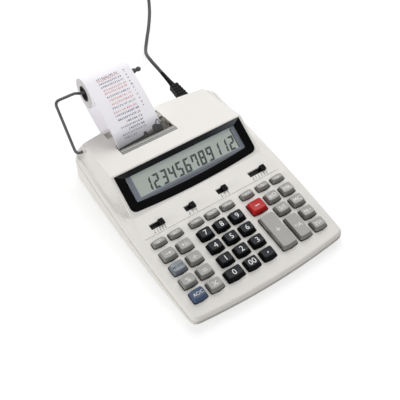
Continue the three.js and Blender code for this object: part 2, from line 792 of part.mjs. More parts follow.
function printerFrame() {
  const left = opening_left - frame_wall;
  const right = opening_right + frame_wall;
  const front = opening_front_y + tear_bar_depth - case_wall - frame_wall;
  const back = opening_back_y + frame_wall;
  const under = (y) => humpTopZ(y) - case_wall - seat_gap;
  const side_profile = [
    [front, frame_floor_z], [back, frame_floor_z], [back, under(back)], [front, under(front)],
  ];
  const body = toSolid(extrudeAlongX(side_profile, left, right));
  const inside = toSolid(box(opening_left, opening_right, front + frame_wall,
    back + overrun, frame_floor_z + frame_wall, ridge_z + overrun));
  const drive_left = paper_left + paper_width + platen_gear_width;
  const drive_box = toSolid(extrudeAlongX([
    [platen_y + platen_radius * 2, frame_floor_z + frame_wall / 2],
    [opening_back_y - case_wall * 2, frame_floor_z + frame_wall / 2],
    [opening_back_y - case_wall * 2, platen_z - platen_radius],
    [platen_y + platen_radius * 3, platen_z],
    [platen_y + platen_radius * 2, platen_z - platen_shaft_radius],
  ], drive_left, opening_right + frame_wall / 2));
  const shaft_holes = toSolid(rodAlongX(platen_shaft_radius + seat_gap, left - overrun,
    right + overrun, platen_y, platen_z, small_sides));
  const guide = toSolid(rodAlongX(frame_wall, opening_left - frame_wall / 2,
    opening_right + frame_wall / 2, platen_y + platen_radius * 3, platen_z - platen_radius * 2,
    small_sides));
  const solid = join([body.subtract(inside), drive_box, guide]).subtract(shaft_holes);
  return makeMesh('printer_frame', toGeometry(solid), paint.dark_plastic);
}

function gearPoints(radius, tooth, count) {
  const points = [];
  const tooth_shares = [[0, 0], [0.3, 0], [0.42, 1], [0.88, 1]];
  for (let i = 0; i < count; i += 1) {
    for (const [turn, rise] of tooth_shares) {
      const angle = (i + turn) / count * 2 * Math.PI;
      const reach = radius - tooth + tooth * rise;
      points.push([platen_y + reach * Math.cos(angle), platen_z + reach * Math.sin(angle)]);
    }
  }
  return points;
}

function platenRoller() {
  const rubber_right = paper_left + paper_width;
  const rubber = rodAlongX(platen_radius, paper_left, rubber_right, platen_y, platen_z, round_sides);
  const shaft = rodAlongX(platen_shaft_radius, opening_left - frame_wall,
    opening_right + frame_wall, platen_y, platen_z, small_sides);
  const gear_x = rubber_right + platen_gear_width / 2;
  const gear = extrudeAlongX(gearPoints(platen_gear_radius, platen_gear_tooth, platen_gear_teeth),
    gear_x, gear_x + platen_gear_width);
  const solid = join([rubber, shaft, gear].map(toSolid));
  return makeMesh('platen_roller', toGeometry(solid), paint.black_rubber);
}

function tearBar() {
  const shape = new THREE.Shape();
  const length = opening_right - opening_left;
  shape.moveTo(0, 0);
  shape.lineTo(length, 0);
  const teeth = Math.round(length / tear_bar_tooth);
  const root_v = tear_bar_depth - tear_bar_tooth_depth;
  for (let i = teeth; i > 0; i -= 1) {
    shape.lineTo(i / teeth * length, root_v);
    shape.lineTo((i - 0.5) / teeth * length, tear_bar_depth);
  }
  shape.lineTo(0, root_v);
  const geometry = new THREE.ExtrudeGeometry(shape, { depth: tear_bar_thickness, bevelEnabled: false });
  geometry.translate(opening_left, seat_gap, -tear_bar_thickness);
  geometry.rotateX(-Math.atan(hump_fall));
  geometry.translate(0, opening_front_y, humpTopZ(opening_front_y));
  return makeMesh('tear_bar', geometry, paint.grey_metal);
}

// The paper: one ribbon from the underside of the roll, through the feed slot, round the
// platen and out of the opening, then over the top of the roll

function arcPoints(y, z, radius, from, to, steps) {
  const points = [];
  for (let i = 0; i <= steps; i += 1) {
    const angle = THREE.MathUtils.lerp(from, to, i / steps);
    points.push(new THREE.Vector2(y + radius * Math.cos(angle), z + radius * Math.sin(angle)));
  }
  return points;
}

function bendPoints(from, corner, to, steps) {
  return new THREE.QuadraticBezierCurve(from, corner, to).getPoints(steps);
}

function tapeLine() {
  const along_y = roll_y - platen_y;
  const along_z = roll_z - platen_z;
  const reach = Math.hypot(along_y, along_z);
  const heading = Math.atan2(along_z, along_y) + Math.asin((tape_radius - platen_wrap) / reach);
  const leave = heading + tape_leave_arch;
  const meet = heading - tape_meet_arch;
  const quarter = Math.PI / 2;
  const over_platen = arcPoints(platen_y, platen_z, platen_wrap, 3 * quarter, quarter + leave,
    over_platen_steps);
  const over_roll = arcPoints(roll_y, roll_z, tape_radius, quarter + meet, -quarter / 3,
    over_roll_steps);
  const from = over_platen.at(-1);
  const to = over_roll[0];
  const run = (to.x - from.x) * Math.sin(meet) - (to.y - from.y) * Math.cos(meet);
  const bend = run / Math.sin(meet - leave);
  const corner = new THREE.Vector2(
    from.x + bend * Math.cos(leave), from.y + bend * Math.sin(leave));
  const tape = bendPoints(from, corner, to, tape_steps).slice(1, -1);
  const slot_y = rear_middle_y;
  const drop_y = roll_y - slot_y;
  const drop_z = roll_z - feed_slot_z;
  const climb = Math.atan2(drop_z, drop_y) - Math.asin(tape_radius / Math.hypot(drop_y, drop_z));
  const leave_roll = arcPoints(roll_y, roll_z, tape_radius, climb - quarter / 3, climb - quarter,
    leave_roll_steps);
  const slot_point = new THREE.Vector2(slot_y, feed_slot_z);
  const slot_run = slot_y - rear_corner_y + overrun;
  const before = new THREE.Vector2(
    slot_y + slot_run * Math.cos(climb), feed_slot_z + slot_run * Math.sin(climb));
  const platen_low = over_platen[0];
  const after = new THREE.Vector2(slot_y - slot_run, feed_slot_z
    + (platen_low.y - feed_slot_z) * slot_run / (slot_y - platen_low.x));
  const feed = bendPoints(before, slot_point, after, feed_steps);
  return [...leave_roll, ...feed, ...over_platen, ...tape, ...over_roll];
}

function paperTape() {
  const line = tapeLine();
  const side = (offset) => line.map((point, i) => {
    const before = line[Math.max(i - 1, 0)];
    const after = line[Math.min(i + 1, line.length - 1)];
    const along = after.clone().sub(before).normalize();
    return [point.x - along.y * offset, point.y + along.x * offset];
  });
  const half = paper_thickness / 2;
  const outline = [...side(half), ...side(-half).reverse()];
  return makeMesh('paper_tape', extrudeAlongX(outline, paper_left, paper_left + paper_width),
    paint.paper);
}

// The roll and the arm that carries it

function paperRoll() {
  const half = paper_width / 2;
  const core_outer = core_radius + core_wall;
  const profile = [
    [core_radius, -half - core_lip], [core_outer, -half - core_lip], [core_outer, -half],
    [roll_radius, -half], [roll_radius, half], [core_outer, half],
    [core_outer, half + core_lip], [core_radius, half + core_lip], [core_radius, -half - core_lip],
  ].map(([radius, along]) => new THREE.Vector2(radius, along));
  const geometry = new THREE.LatheGeometry(profile, roll_sides);
  geometry.rotateZ(-Math.PI / 2);
  geometry.translate(paper_left + half, roll_y, roll_z);
  return makeMesh('paper_roll', geometry, paint.paper);
}

// A path through corners, with each inner corner rounded by its bend length
function roundedPath(corners, bends) {
  const path = new THREE.CurvePath();
  let from = corners[0];
  for (let i = 1; i + 1 < corners.length; i += 1) {
    const corner = corners[i];
    const into = corner.clone().sub(corners[i - 1]).setLength(bends[i - 1]);
    const out = corners[i + 1].clone().sub(corner).setLength(bends[i - 1]);
    const start = corner.clone().sub(into);
    const end = corner.clone().add(out);
    path.add(new THREE.LineCurve3(from, start));
    path.add(new THREE.QuadraticBezierCurve3(start, corner, end));
    from = end;
  }
  path.add(new THREE.LineCurve3(from, corners.at(-1)));
  return path;
}

function circleShape(radius, sides) {
  const points = [];
  for (let i = 0; i < sides; i += 1) {
    const angle = (i + 0.5) / sides * 2 * Math.PI;
    points.push(new THREE.Vector2(radius * Math.cos(angle), radius * Math.sin(angle)));
  }
  return new THREE.Shape(points);
}

function paperArm() {
  const corners = [
    new THREE.Vector3(arm_inner_x, arm_pivot_y, arm_pivot_z),
    new THREE.Vector3(arm_low_x, arm_pivot_y, arm_pivot_z),
    new THREE.Vector3(arm_top_x, arm_wire_y, arm_wire_z + arm_top_rise),
    new THREE.Vector3(arm_kink_x, arm_wire_y, arm_wire_z + arm_top_rise),
    new THREE.Vector3(arm_kink_x + arm_kink_length, arm_wire_y, arm_wire_z),
    new THREE.Vector3(arm_tip_x - arm_tip_radius, arm_wire_y, arm_wire_z),
  ];
  const bends = [wire_bend, wire_bend, wire_kink_bend, wire_kink_bend];
  const wire = new THREE.ExtrudeGeometry(circleShape(wire_radius, 8), {
    steps: 60, extrudePath: roundedPath(corners, bends), bevelEnabled: false,
  });
  const lump = (x, radius) => {
    const geometry = new THREE.SphereGeometry(radius, small_sides, small_sides / 2);
    geometry.scale(tip_stretch_share, 1, 1);
    return geometry.translate(x, arm_wire_y, arm_wire_z);
  };
  const solid = join([
    toSolid(wire),
    toSolid(lump(arm_tip_x - arm_tip_radius * 2, arm_tip_radius)),
    toSolid(lump(arm_tip_x, arm_tip_radius * tip_end_share)),
    toSolid(rodAlongX(arm_tip_radius * tip_neck_share, arm_tip_x - arm_tip_radius * 2, arm_tip_x,
      arm_wire_y, arm_wire_z, small_sides)),
  ]);
  return makeMesh('paper_arm', toGeometry(solid), paint.dark_wire);
}

// The slide switches

function switchKnob(name, slot) {
  const right = slot.left + slot.length - switch_end_gap;
  const left = right - switch_knob_length;
  const low = switch_y - switch_slot_width / 2 + seat_gap;
  const high = switch_y + switch_slot_width / 2 - seat_gap;
  const travel = slot.length - switch_knob_length - 2 * switch_end_gap;
  const shoulder = switch_knob_rise * knob_shoulder_share;
  const plate = box(left - travel - 2 * switch_end_gap, right + 2 * switch_end_gap, low - key_flange,
    high + key_flange, flange_top_z - key_flange_thickness, flange_top_z);
  const knob = extrudeAlongX([
    [low, flange_top_z - key_flange_thickness / 2],
    [high, flange_top_z - key_flange_thickness / 2],
    [high, shoulder], [high - key_flange, switch_knob_rise],
    [low + key_flange, switch_knob_rise], [low, shoulder],
  ], left, right);
  const dip = rodAlongX(knob_dip_radius, -switch_slot_width, switch_slot_width, 0, 0, round_sides);
  dip.rotateZ(Math.PI / 2);
  dip.translate((left + right) / 2, switch_y, switch_knob_rise + knob_dip_radius - knob_dip_depth);
  const solid = join([plate, knob].map(toSolid)).subtract(toSolid(dip));
  return makeMesh(name, toGeometry(solid), paint.black_rubber);
}

// The power connector: a ribbed plug in the rear wall, with a tapered strain relief

function plugFrame() {
  return new THREE.Vector3(plug_x, rear_corner_y, plug_z);
}

function powerPlug() {
  const { x, y, z } = plugFrame();
  const start = y - plug_insert / 2;
  const end = start + plug_insert + plug_length;
  const wall_y = y + plug_insert / 2;
  const halves = [[start, plug_width / 2], [wall_y, plug_width / 2], [end, plug_end_width / 2]];
  const core_rings = halves.reverse().map(([ring_y, half]) => [
    [-half, -plug_height / 2], [half, -plug_height / 2], [half, plug_height / 2],
    [-half, plug_height / 2],
  ].map(([dx, dz]) => new THREE.Vector3(x + dx, ring_y, z + dz)));
  const core = ringSolid(core_rings, seen_from_front);
  const rib_pitch = plug_length / (plug_rib_count + 1);
  const grooves = [];
  for (let i = 0; i < plug_rib_count; i += 1) {
    const rib_y = end - rib_pitch * (i + plug_rib_share);
    for (const side of [-1, 1]) {
      const across = box(x - plug_width, x + plug_width, rib_y - rib_pitch / 2, rib_y,
        z + side * plug_height / 2 - plug_rib_depth, z + side * plug_height / 2 + plug_rib_depth);
      grooves.push(toSolid(across));
    }
  }
  const rings = [];
  const relief_shares = [[0, 1], [0.12, 1], [0.3, 0.86], [0.65, 0.74], [1, 0.68]];
  for (const [along, size] of relief_shares) {
    const ring = [];
    for (let i = 0; i < small_sides; i += 1) {
      const angle = i / small_sides * 2 * Math.PI;
      ring.push(new THREE.Vector3(x + relief_radius * size * Math.cos(angle),
        end - seat_gap + relief_length * along, z + relief_radius * size * Math.sin(angle)));
    }
    rings.push(ring);
  }
  const relief = toSolid(ringSolid(rings.reverse(), seen_from_front));
  const solid = cut(toSolid(core), grooves).add(relief);
  return makeMesh('power_plug', toGeometry(solid), paint.black_rubber);
}

// The lead: free from the strain relief to the coil, then wound in layers

function deckToFloor(point) {
  return point.clone().applyAxisAngle(new THREE.Vector3(1, 0, 0), deck_tilt)
    .add(new THREE.Vector3(0, 0, deck_origin_height));
}

// The route of the lead on the floor, in the floor frame, up to where the coil begins
const lead_route = [
  [62.6, 236.0, 32.1], [63.4, 246.0, 31.3], [65.4, 256.0, 28.9], [68.4, 266.0, 24.9],
  [72.3, 276.0, 19.7], [76.9, 286.0, 14.1], [82.2, 296.0, 9.0], [88.2, 306.0, 5.2],
  [95.0, 316.0, 3.0], [103.0, 327.0, 2.3], [113.5, 341.0, 2.3], [126.0, 358.5, 2.3],
  [138.0, 377.0, 2.3], [148.9, 396.0, 2.3], [158.8, 416.0, 2.3], [167.5, 437.0, 2.3],
];

function leadLine() {
  const { x, y, z } = plugFrame();
  const end = y + plug_insert / 2 + plug_length + relief_length;
  const leave = deckToFloor(new THREE.Vector3(x, end, z));
  const straight = deckToFloor(new THREE.Vector3(x, end + 2 * cord_radius, z));
  const points = lead_route.map(([px, py, pz]) => new THREE.Vector3(px, py, pz));
  return new THREE.CatmullRomCurve3([leave, straight, ...points], false, 'centripetal');
}

function cordLead() {
  const geometry = new THREE.ExtrudeGeometry(circleShape(cord_radius, cord_sides), {
    steps: cord_steps, extrudePath: leadLine(), bevelEnabled: false,
  });
  return makeMesh('cord_lead', geometry, paint.black_rubber);
}

// The middle line of the coil: layers that spiral in and out by turns, each climbed to in
// the half turn where the spiral reverses, then a tail down to the mains plug
function coilLine() {
  const [last_x, last_y, last_z] = lead_route.at(-1);
  const ahead = new THREE.Vector3(Math.cos(cord_heading), Math.sin(cord_heading), 0);
  const right = new THREE.Vector3(ahead.y, -ahead.x, 0);
  const start = new THREE.Vector3(last_x, last_y, last_z).addScaledVector(ahead, seat_gap);
  const bend_start = start.clone().addScaledVector(ahead, 2 * cord_radius);
  const layer_turns = coil_turns / coil_layers;
  const outer = coil_middle_radius + coil_pitch * layer_turns / 2;
  const centre = bend_start.clone().addScaledVector(right, outer);
  const first_angle = Math.atan2(-right.y, -right.x);
  const points = [start];
  const steps = coil_turns * coil_steps_per_turn;
  for (let i = 0; i <= steps; i += 1) {
    const turns = i / coil_steps_per_turn;
    const layer = Math.min(Math.floor(turns / layer_turns), coil_layers - 1);
    const along = turns - layer * layer_turns;
    const inward = layer % 2 === 0 ? along : layer_turns - along;
    const reversal = Math.round(turns / layer_turns);
    const inner_reversal = reversal > 0 && reversal < coil_layers;
    const climb = inner_reversal ? (turns - reversal * layer_turns) / coil_climb_turns + 0.5 : 0;
    const level = inner_reversal
      ? reversal - 1 + THREE.MathUtils.smoothstep(climb, 0, 1) : layer;
    const radius = outer - coil_pitch * inward;
    const angle = first_angle - turns * 2 * Math.PI;
    points.push(new THREE.Vector3(centre.x + radius * Math.cos(angle),
      centre.y + radius * Math.sin(angle), last_z + coil_rise * level));
  }
  const end = points.at(-1);
  const last_angle = first_angle - coil_turns * 2 * Math.PI;
  const onward = new THREE.Vector3(Math.sin(last_angle), -Math.cos(last_angle), 0);
  const drop = end.z - mains_body_height / 2;
  for (let i = 1; i <= coil_tail_steps; i += 1) {
    const share = i / coil_tail_steps;
    const point = end.clone().addScaledVector(onward, coil_tail * share);
    point.z -= drop * THREE.MathUtils.smoothstep(share, 0, 1);
    points.push(point);
  }
  points.push(points.at(-1).clone().addScaledVector(onward, 2 * cord_radius));
  return { points, onward };
}

// A tube of equal rings round a line that never runs straight up
function tubeGeometry(line, radius, sides) {
  const up = new THREE.Vector3(0, 0, 1);
  const positions = [];
  line.forEach((point, i) => {
    const before = line[Math.max(i - 1, 0)];
    const after = line[Math.min(i + 1, line.length - 1)];
    const along = after.clone().sub(before).normalize();
    const side = along.clone().cross(up).normalize();
    const normal = side.clone().cross(along);
    for (let k = 0; k < sides; k += 1) {
      const angle = (k + 0.5) / sides * 2 * Math.PI;
      const corner = point.clone().addScaledVector(side, radius * Math.cos(angle))
        .addScaledVector(normal, radius * Math.sin(angle));
      positions.push(corner.x, corner.y, corner.z);
    }
  });
  const index = [];
  for (let i = 0; i + 1 < line.length; i += 1) {
    for (let k = 0; k < sides; k += 1) {
      const a = i * sides + k;
      const b = i * sides + (k + 1) % sides;
      index.push(a, b + sides, b, a, a + sides, b + sides);
    }
  }
  const last = (line.length - 1) * sides;
  for (let k = 1; k + 1 < sides; k += 1) {
    index.push(0, k, k + 1, last, last + k + 1, last + k);
  }
  const geometry = new THREE.BufferGeometry();
  geometry.setAttribute('position', new THREE.Float32BufferAttribute(positions, 3));
  geometry.setIndex(index);
  return geometry;
}

// The least gap between stretches of the coil that lie at least half a turn apart
function leastGap(line) {
  let least = Infinity;
  for (let i = 0; i < line.length; i += 1) {
    for (let k = i + coil_steps_per_turn / 2; k < line.length; k += 1) {
      least = Math.min(least, line[i].distanceTo(line[k]));
    }
  }
  return least - 2 * cord_radius;
}

function lineLength(line) {
  return line.slice(1).reduce((sum, point, i) => sum + point.distanceTo(line[i]), 0);
}

function mainsPlug(from, onward) {
  const half = mains_body_width / 2;
  const shape = new THREE.Shape();
  const neck = mains_body_length * mains_neck_share;
  const shoulder = mains_body_length * mains_shoulder_share;
  shape.moveTo(0, -2 * cord_radius);
  shape.quadraticCurveTo(neck, -2 * cord_radius, shoulder, -half);
  shape.lineTo(mains_body_length, -half);
  shape.lineTo(mains_body_length, half);
  shape.lineTo(shoulder, half);
  shape.quadraticCurveTo(neck, 2 * cord_radius, 0, 2 * cord_radius);
  const bevel = mains_body_height * mains_bevel_share;
  const body = new THREE.ExtrudeGeometry(shape, {
    depth: mains_body_height - 2 * bevel, bevelEnabled: true, bevelThickness: bevel,
    bevelSize: bevel, bevelOffset: -bevel, bevelSegments: 2, curveSegments: 6,
  });
  body.translate(0, 0, bevel);
  const pins = [-0.5, 0.5].map((share) => toSolid(rodAlongX(mains_pin_radius,
    mains_body_length - overrun, mains_body_length + mains_pin_length,
    share * mains_pin_pitch, mains_body_height / 2, small_sides)));
  const geometry = toGeometry(join([toSolid(body), ...pins]));
  const mesh = makeMesh('mains_plug', geometry, paint.black_rubber);
  mesh.rotation.z = Math.atan2(onward.y, onward.x);
  mesh.position.set(from.x + onward.x * seat_gap, from.y + onward.y * seat_gap, 0);
  return mesh;
}

// The assembly

const keys = listKeys();
const deck = new THREE.Group();
deck.rotation.x = deck_tilt;
deck.position.z = deck_origin_height;
deck.add(
  paperArm(), paperRoll(), platenRoller(),
  ...Object.entries(switch_slots).map(([name, slot]) => switchKnob(name, slot)),
  upperCase(keys), lowerCase(), ...feet(), displayWindow(), lcdPanel(), mainBoard(),
  printerFrame(), tearBar(), paperTape(),
);
for (const key of keys) {
  const mesh = makeMesh(key.name, keyGeometry(key.width, key.depth, key.height), key.finish);
  mesh.position.set(key.x, key.y, 0);
  deck.add(mesh);
}

// The origin is the middle of the underside of the calculator's box, without its cord
const calculator = new THREE.Group();
calculator.add(deck);
calculator.updateMatrixWorld(true);
const extent = new THREE.Box3().setFromObject(calculator, true);
const middle = extent.getCenter(new THREE.Vector3());
deck.add(powerPlug());

const coil = coilLine();
console.log(`least gap of the coil to itself: ${leastGap(coil.points).toFixed(2)} mm`);
const lead_length = leadLine().getLength() + lineLength(coil.points);
console.log(`length of the lead: ${(lead_length / 1000).toFixed(3)} m`);
calculator.add(
  cordLead(),
  makeMesh('cord_coil', tubeGeometry(coil.points, cord_radius, coil_sides), paint.black_rubber),
  mainsPlug(coil.points.at(-1), coil.onward),
);
calculator.position.set(-middle.x, -middle.y, -extent.min.z);

export default calculator;
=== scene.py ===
import bpy
import bmesh
import math
import random
from mathutils import Matrix, Vector


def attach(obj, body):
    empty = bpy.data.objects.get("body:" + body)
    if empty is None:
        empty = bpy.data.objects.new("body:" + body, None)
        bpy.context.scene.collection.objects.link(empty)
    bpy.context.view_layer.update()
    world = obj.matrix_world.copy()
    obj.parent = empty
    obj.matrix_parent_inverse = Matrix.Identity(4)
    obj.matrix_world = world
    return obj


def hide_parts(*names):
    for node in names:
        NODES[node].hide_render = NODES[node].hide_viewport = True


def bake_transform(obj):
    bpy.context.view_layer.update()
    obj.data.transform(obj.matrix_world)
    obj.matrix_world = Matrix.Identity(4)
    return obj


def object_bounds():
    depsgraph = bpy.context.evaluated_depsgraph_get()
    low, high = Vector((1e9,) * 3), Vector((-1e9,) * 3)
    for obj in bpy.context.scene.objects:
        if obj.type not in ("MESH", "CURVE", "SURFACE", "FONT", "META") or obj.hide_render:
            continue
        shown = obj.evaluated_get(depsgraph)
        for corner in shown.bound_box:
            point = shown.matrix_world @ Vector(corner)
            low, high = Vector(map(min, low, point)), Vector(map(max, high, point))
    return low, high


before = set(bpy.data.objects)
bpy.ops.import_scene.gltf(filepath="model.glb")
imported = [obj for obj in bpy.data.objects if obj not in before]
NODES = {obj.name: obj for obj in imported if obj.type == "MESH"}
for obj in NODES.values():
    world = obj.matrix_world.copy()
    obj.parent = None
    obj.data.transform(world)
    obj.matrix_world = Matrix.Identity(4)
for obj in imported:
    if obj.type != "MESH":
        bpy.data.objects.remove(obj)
cad_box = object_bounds()

# Pieces are drawn in millimetres in the deck's own frame and placed by this matrix.
MM = 0.001
TILT = math.radians(5.5)
RISE, SHIFT = 20.2, -65.5005
DECK = Matrix.Translation((0, SHIFT * MM, RISE * MM)) @ Matrix.Rotation(TILT, 4, "X") \
    @ Matrix.Scale(MM, 4)
FLOOR_FRAME = Matrix.Translation((0, SHIFT * MM, 0)) @ Matrix.Scale(MM, 4)

# Sizes that part.mjs uses for the same pieces
SLOPE_FOOT_Y, SLOPE_LENGTH = 50.6, 49.2
SLOPE = math.radians(27.4)
RIDGE_Y = SLOPE_FOOT_Y + SLOPE_LENGTH * math.cos(SLOPE)
RIDGE_Z = SLOPE_LENGTH * math.sin(SLOPE)
REAR_Y, REAR_TOP_Z, REAR_CORNER_Y = 172.6, 3, 165.6
HUMP_FALL = (RIDGE_Z - REAR_TOP_Z) / (REAR_Y - RIDGE_Y)
POD = DECK @ Matrix.Translation((0, SLOPE_FOOT_Y, 0)) @ Matrix.Rotation(SLOPE, 4, "X")
ROLL_Y, ROLL_Z, ROLL_R = 202.5, 34, 18
PLATEN_Y, PLATEN_Z, PLATEN_R = 130, 5.4, 6
PAPER_LEFT, PAPER_WIDTH, PAPER_THICK, GAP = -54, 57, 0.35, 0.3
CORD_R = 2.3
CORD_SKIN_R = CORD_R * 0.995


# Camera and lamps

def linked(name, data):
    """A new object in the scene."""
    item = bpy.data.objects.new(name, data)
    bpy.context.scene.collection.objects.link(item)
    return item


def make_camera():
    focal, picture, sensor = 679.7, 400, 36
    data = bpy.data.cameras.new("camera")
    data.sensor_width = sensor
    data.lens = focal / picture * sensor
    data.clip_start, data.clip_end = 0.02, 50
    right = Vector((0.8239, -0.5640, 0.0551))
    down = Vector((-0.4374, -0.6948, -0.5709))
    look = Vector((0.3603, 0.4463, -0.8192))
    turn = Matrix((right, -down, -look)).transposed()
    camera = linked("camera", data)
    camera.matrix_world = Matrix.Translation((-0.27246, -0.41242, 0.58436)) \
        @ (Matrix.Rotation(TILT, 3, "X") @ turn).to_4x4()
    bpy.context.scene.camera = camera


def area_lamp(name, place, target, size, energy):
    data = bpy.data.lights.new(name, "AREA")
    data.shape = "RECTANGLE"
    data.size, data.size_y = size
    data.energy = energy
    lamp = linked(name, data)
    lamp.location = place
    lamp.rotation_mode = "QUATERNION"
    lamp.rotation_quaternion = (Vector(target) - Vector(place)).to_track_quat("-Z", "Y")


# Node trees

def feed(node, *inputs, **values):
    """Gives a node its settings and inputs by name, and further inputs by place.
    A node or an output is linked, and anything else is the socket's own value."""
    for key, value in [*values.items(), *enumerate(inputs)]:
        if isinstance(key, str):
            if hasattr(node, key):
                setattr(node, key, value)
                continue
            key = key.replace("_", " ")
        if isinstance(value, bpy.types.Node):
            value = value.outputs[0]
        if isinstance(value, bpy.types.NodeSocket):
            node.id_data.links.new(value, node.inputs[key])
        else:
            node.inputs[key].default_value = value
    return node


def add(tree, kind, *inputs, **values):
    return feed(tree.nodes.new("ShaderNode" + kind), *inputs, **values)


def empty_tree(owner):
    owner.use_nodes = True
    owner.node_tree.nodes.clear()
    return owner.node_tree


def shader_of(mat):
    return mat.node_tree.nodes["Principled BSDF"]


def object_place(tree):
    return add(tree, "TexCoord").outputs["Object"]


def color_ramp(tree, share, stops):
    ramp = add(tree, "ValToRGB", share)
    for _ in stops[2:]:
        ramp.color_ramp.elements.new(0.5)
    for element, (position, color) in zip(ramp.color_ramp.elements, stops):
        element.position = position
        element.color = color
    return ramp


def levels_along(tree, start, end, stops):
    """Colours that change along the line from start to end, as stops of share and colour."""
    run = (end - start) / (end - start).length_squared
    along = add(tree, "VectorMath", object_place(tree), run, operation="DOT_PRODUCT")
    share = add(tree, "Math", along.outputs["Value"], start.dot(run), operation="SUBTRACT")
    return color_ramp(tree, share, stops)


def seen_directly(tree):
    """1 where a ray comes from the camera, a mirror or through glass."""
    path = add(tree, "LightPath")
    first = add(tree, "Math", path.outputs["Is Camera Ray"], path.outputs["Is Glossy Ray"],
                operation="MAXIMUM")
    return add(tree, "Math", first, path.outputs["Is Transmission Ray"], operation="MAXIMUM")


# World and floor

def make_world():
    world = bpy.data.worlds.new("world")
    tree = empty_tree(world)
    ambient = add(tree, "Background", (1, 1, 1, 1), 0.3)
    white = add(tree, "Background", (1, 1, 1, 1), 1.0)
    add(tree, "OutputWorld", add(tree, "MixShader", seen_directly(tree), ambient, white))
    bpy.context.scene.world = world


def make_floor():
    half, drop = 6, 0.0002
    corners = [(-half, -half, 0), (half, -half, 0), (half, half, 0), (-half, half, 0)]
    mat = bpy.data.materials.new("floor")
    floor = new_object("floor", mesh_of(corners, [(0, 1, 2, 3)]), [mat])
    floor.location.z = -drop
    tree = empty_tree(mat)
    plain = add(tree, "BsdfDiffuse", (0.6, 0.6, 0.6, 1))
    shaded = add(tree, "BsdfDiffuse", (0.5, 0.5, 0.5, 1))
    lit = add(tree, "AddShader", shaded, add(tree, "Emission", (1, 1, 1, 1), 0.64))
    add(tree, "OutputMaterial", add(tree, "MixShader", seen_directly(tree), plain, lit))


# Materials

def srgb(r, g, b, share=1):
    """A screen colour as the shaders take it, times a share."""
    def linear(v):
        v /= 255
        return share * (v / 12.92 if v <= 0.04045 else ((v + 0.055) / 1.055) ** 2.4)
    return (linear(r), linear(g), linear(b), 1)


def material(name, color, rough=0.5, grain=0.6, bump=0.06, cloud=0.03, cloud_size=14,
             rough_spread=0.06, metal=0.0, specular=0.5, soft_edge=0.0):
    """Moulded or painted surface: cloudy colour, uneven gloss and a fine grain.
    grain is the size of the texture in mm and bump its depth share."""
    mat = bpy.data.materials.new(name)
    mat.use_nodes = True
    tree = mat.node_tree
    place = object_place(tree)
    clouds = add(tree, "TexNoise", Vector=place, Scale=1 / (cloud_size * MM), Detail=3.0,
                 Roughness=0.55)
    ramp = color_ramp(tree, clouds, [(0.3, srgb(*color, 1 - cloud)), (0.7, srgb(*color, 1 + cloud))])
    gloss = add(tree, "MapRange", Value=clouds, To_Min=rough - rough_spread,
                To_Max=rough + rough_spread)
    fine = add(tree, "TexNoise", Vector=place, Scale=1 / (grain * MM), Detail=2.0)
    relief = add(tree, "Bump", Strength=bump, Distance=0.1 * grain * MM, Height=fine)
    if soft_edge:
        feed(relief, Normal=add(tree, "Bevel", samples=4, Radius=soft_edge * MM))
    feed(shader_of(mat), Base_Color=ramp, Roughness=gloss, Normal=relief, Metallic=metal,
         Specular_IOR_Level=specular)
    return mat


CASE = material("case_white", (238, 235, 230), rough=0.46, grain=0.5, bump=0.35, cloud=0.012,
                soft_edge=0.35)
CASE_LOW = material("case_white_low", (236, 233, 226), grain=0.5, bump=0.4, cloud=0.015,
                    soft_edge=0.35)
# painted shade for the front faces of the lower tray
CASE_PAINTED_SHADE = material("case_white_painted_shade", (186, 183, 176), rough=0.55, grain=0.5, bump=0.4,
                     cloud=0.02)
GLOSS = dict(grain=3, bump=0.02, cloud=0.1, rough_spread=0.02, specular=0.05)
BEZEL = material("bezel_black", (4, 4, 5), rough=0.2, **GLOSS)
# The top slope of the bezel carries a painted reflection, lighter towards its ends and most at the
# right.
BEZEL_PAINTED_REFLECTION = material("bezel_painted_reflection", (30, 32, 35), rough=0.25, **GLOSS)
PAINTED_REFLECTION = [(0, srgb(56, 58, 61)), (0.1, srgb(32, 34, 37)), (0.45, srgb(22, 24, 27)),
         (0.72, srgb(40, 43, 46)), (0.9, srgb(82, 86, 90)), (1, srgb(112, 116, 120))]
feed(shader_of(BEZEL_PAINTED_REFLECTION), Base_Color=levels_along(
    BEZEL_PAINTED_REFLECTION.node_tree, POD @ Vector((-80, 44, 0)), POD @ Vector((80, 44, 0)), PAINTED_REFLECTION))
SURROUND = material("display_surround", (124, 129, 141), rough=0.55, cloud=0.05)
SILL = material("display_sill", (96, 99, 106), rough=0.55, cloud=0.05)
LCD = material("lcd_glass", (206, 212, 204), rough=0.3, grain=0.25, bump=0.08, cloud_size=30)
SEGMENT = material("lcd_segment", (34, 40, 44), rough=0.3, cloud=0.08, cloud_size=4)

# A key's top, its flanks, darker than the top as painted shade, and its lowest millimetre, darker
# still as a painted contact shadow, then the gloss, clouds and shine of its top
KEY_LOOKS = {
    "grey": ((178, 177, 174), (138, 137, 133), (44, 44, 42), 0.45, 0.02, 0.25),
    "black": ((46, 48, 52), (17, 17, 18), (6, 6, 6), 0.4, 0.05, 0.1),
    "red": ((190, 22, 24), (186, 22, 24), (80, 14, 14), 0.38, 0.03, 0.25),
    "blue": ((76, 92, 116), (72, 88, 116), (24, 29, 40), 0.38, 0.03, 0.25),
    "slate": ((140, 149, 155), (116, 124, 130), (42, 46, 50), 0.4, 0.02, 0.5),
}
KEY_FINISHES = {}
for finish, (top, shaded_flank, painted_shadow, rough, cloud, specular) in KEY_LOOKS.items():
    side = dict(rough=0.4, grain=0.35, bump=0.2, cloud=0.04,
                specular=0.04 if finish == "black" else 0.15)
    KEY_FINISHES[finish] = [
        material("key_" + finish, top, rough=rough, grain=0.35, bump=0.3, cloud=cloud,
                 specular=specular),
        # the flanks' material is painted shade, and that of the lowest millimetre a painted contact
        # shadow
        material(f"key_{finish}_flank", shaded_flank, **side),
        material(f"key_{finish}_skirt", painted_shadow, **side)]

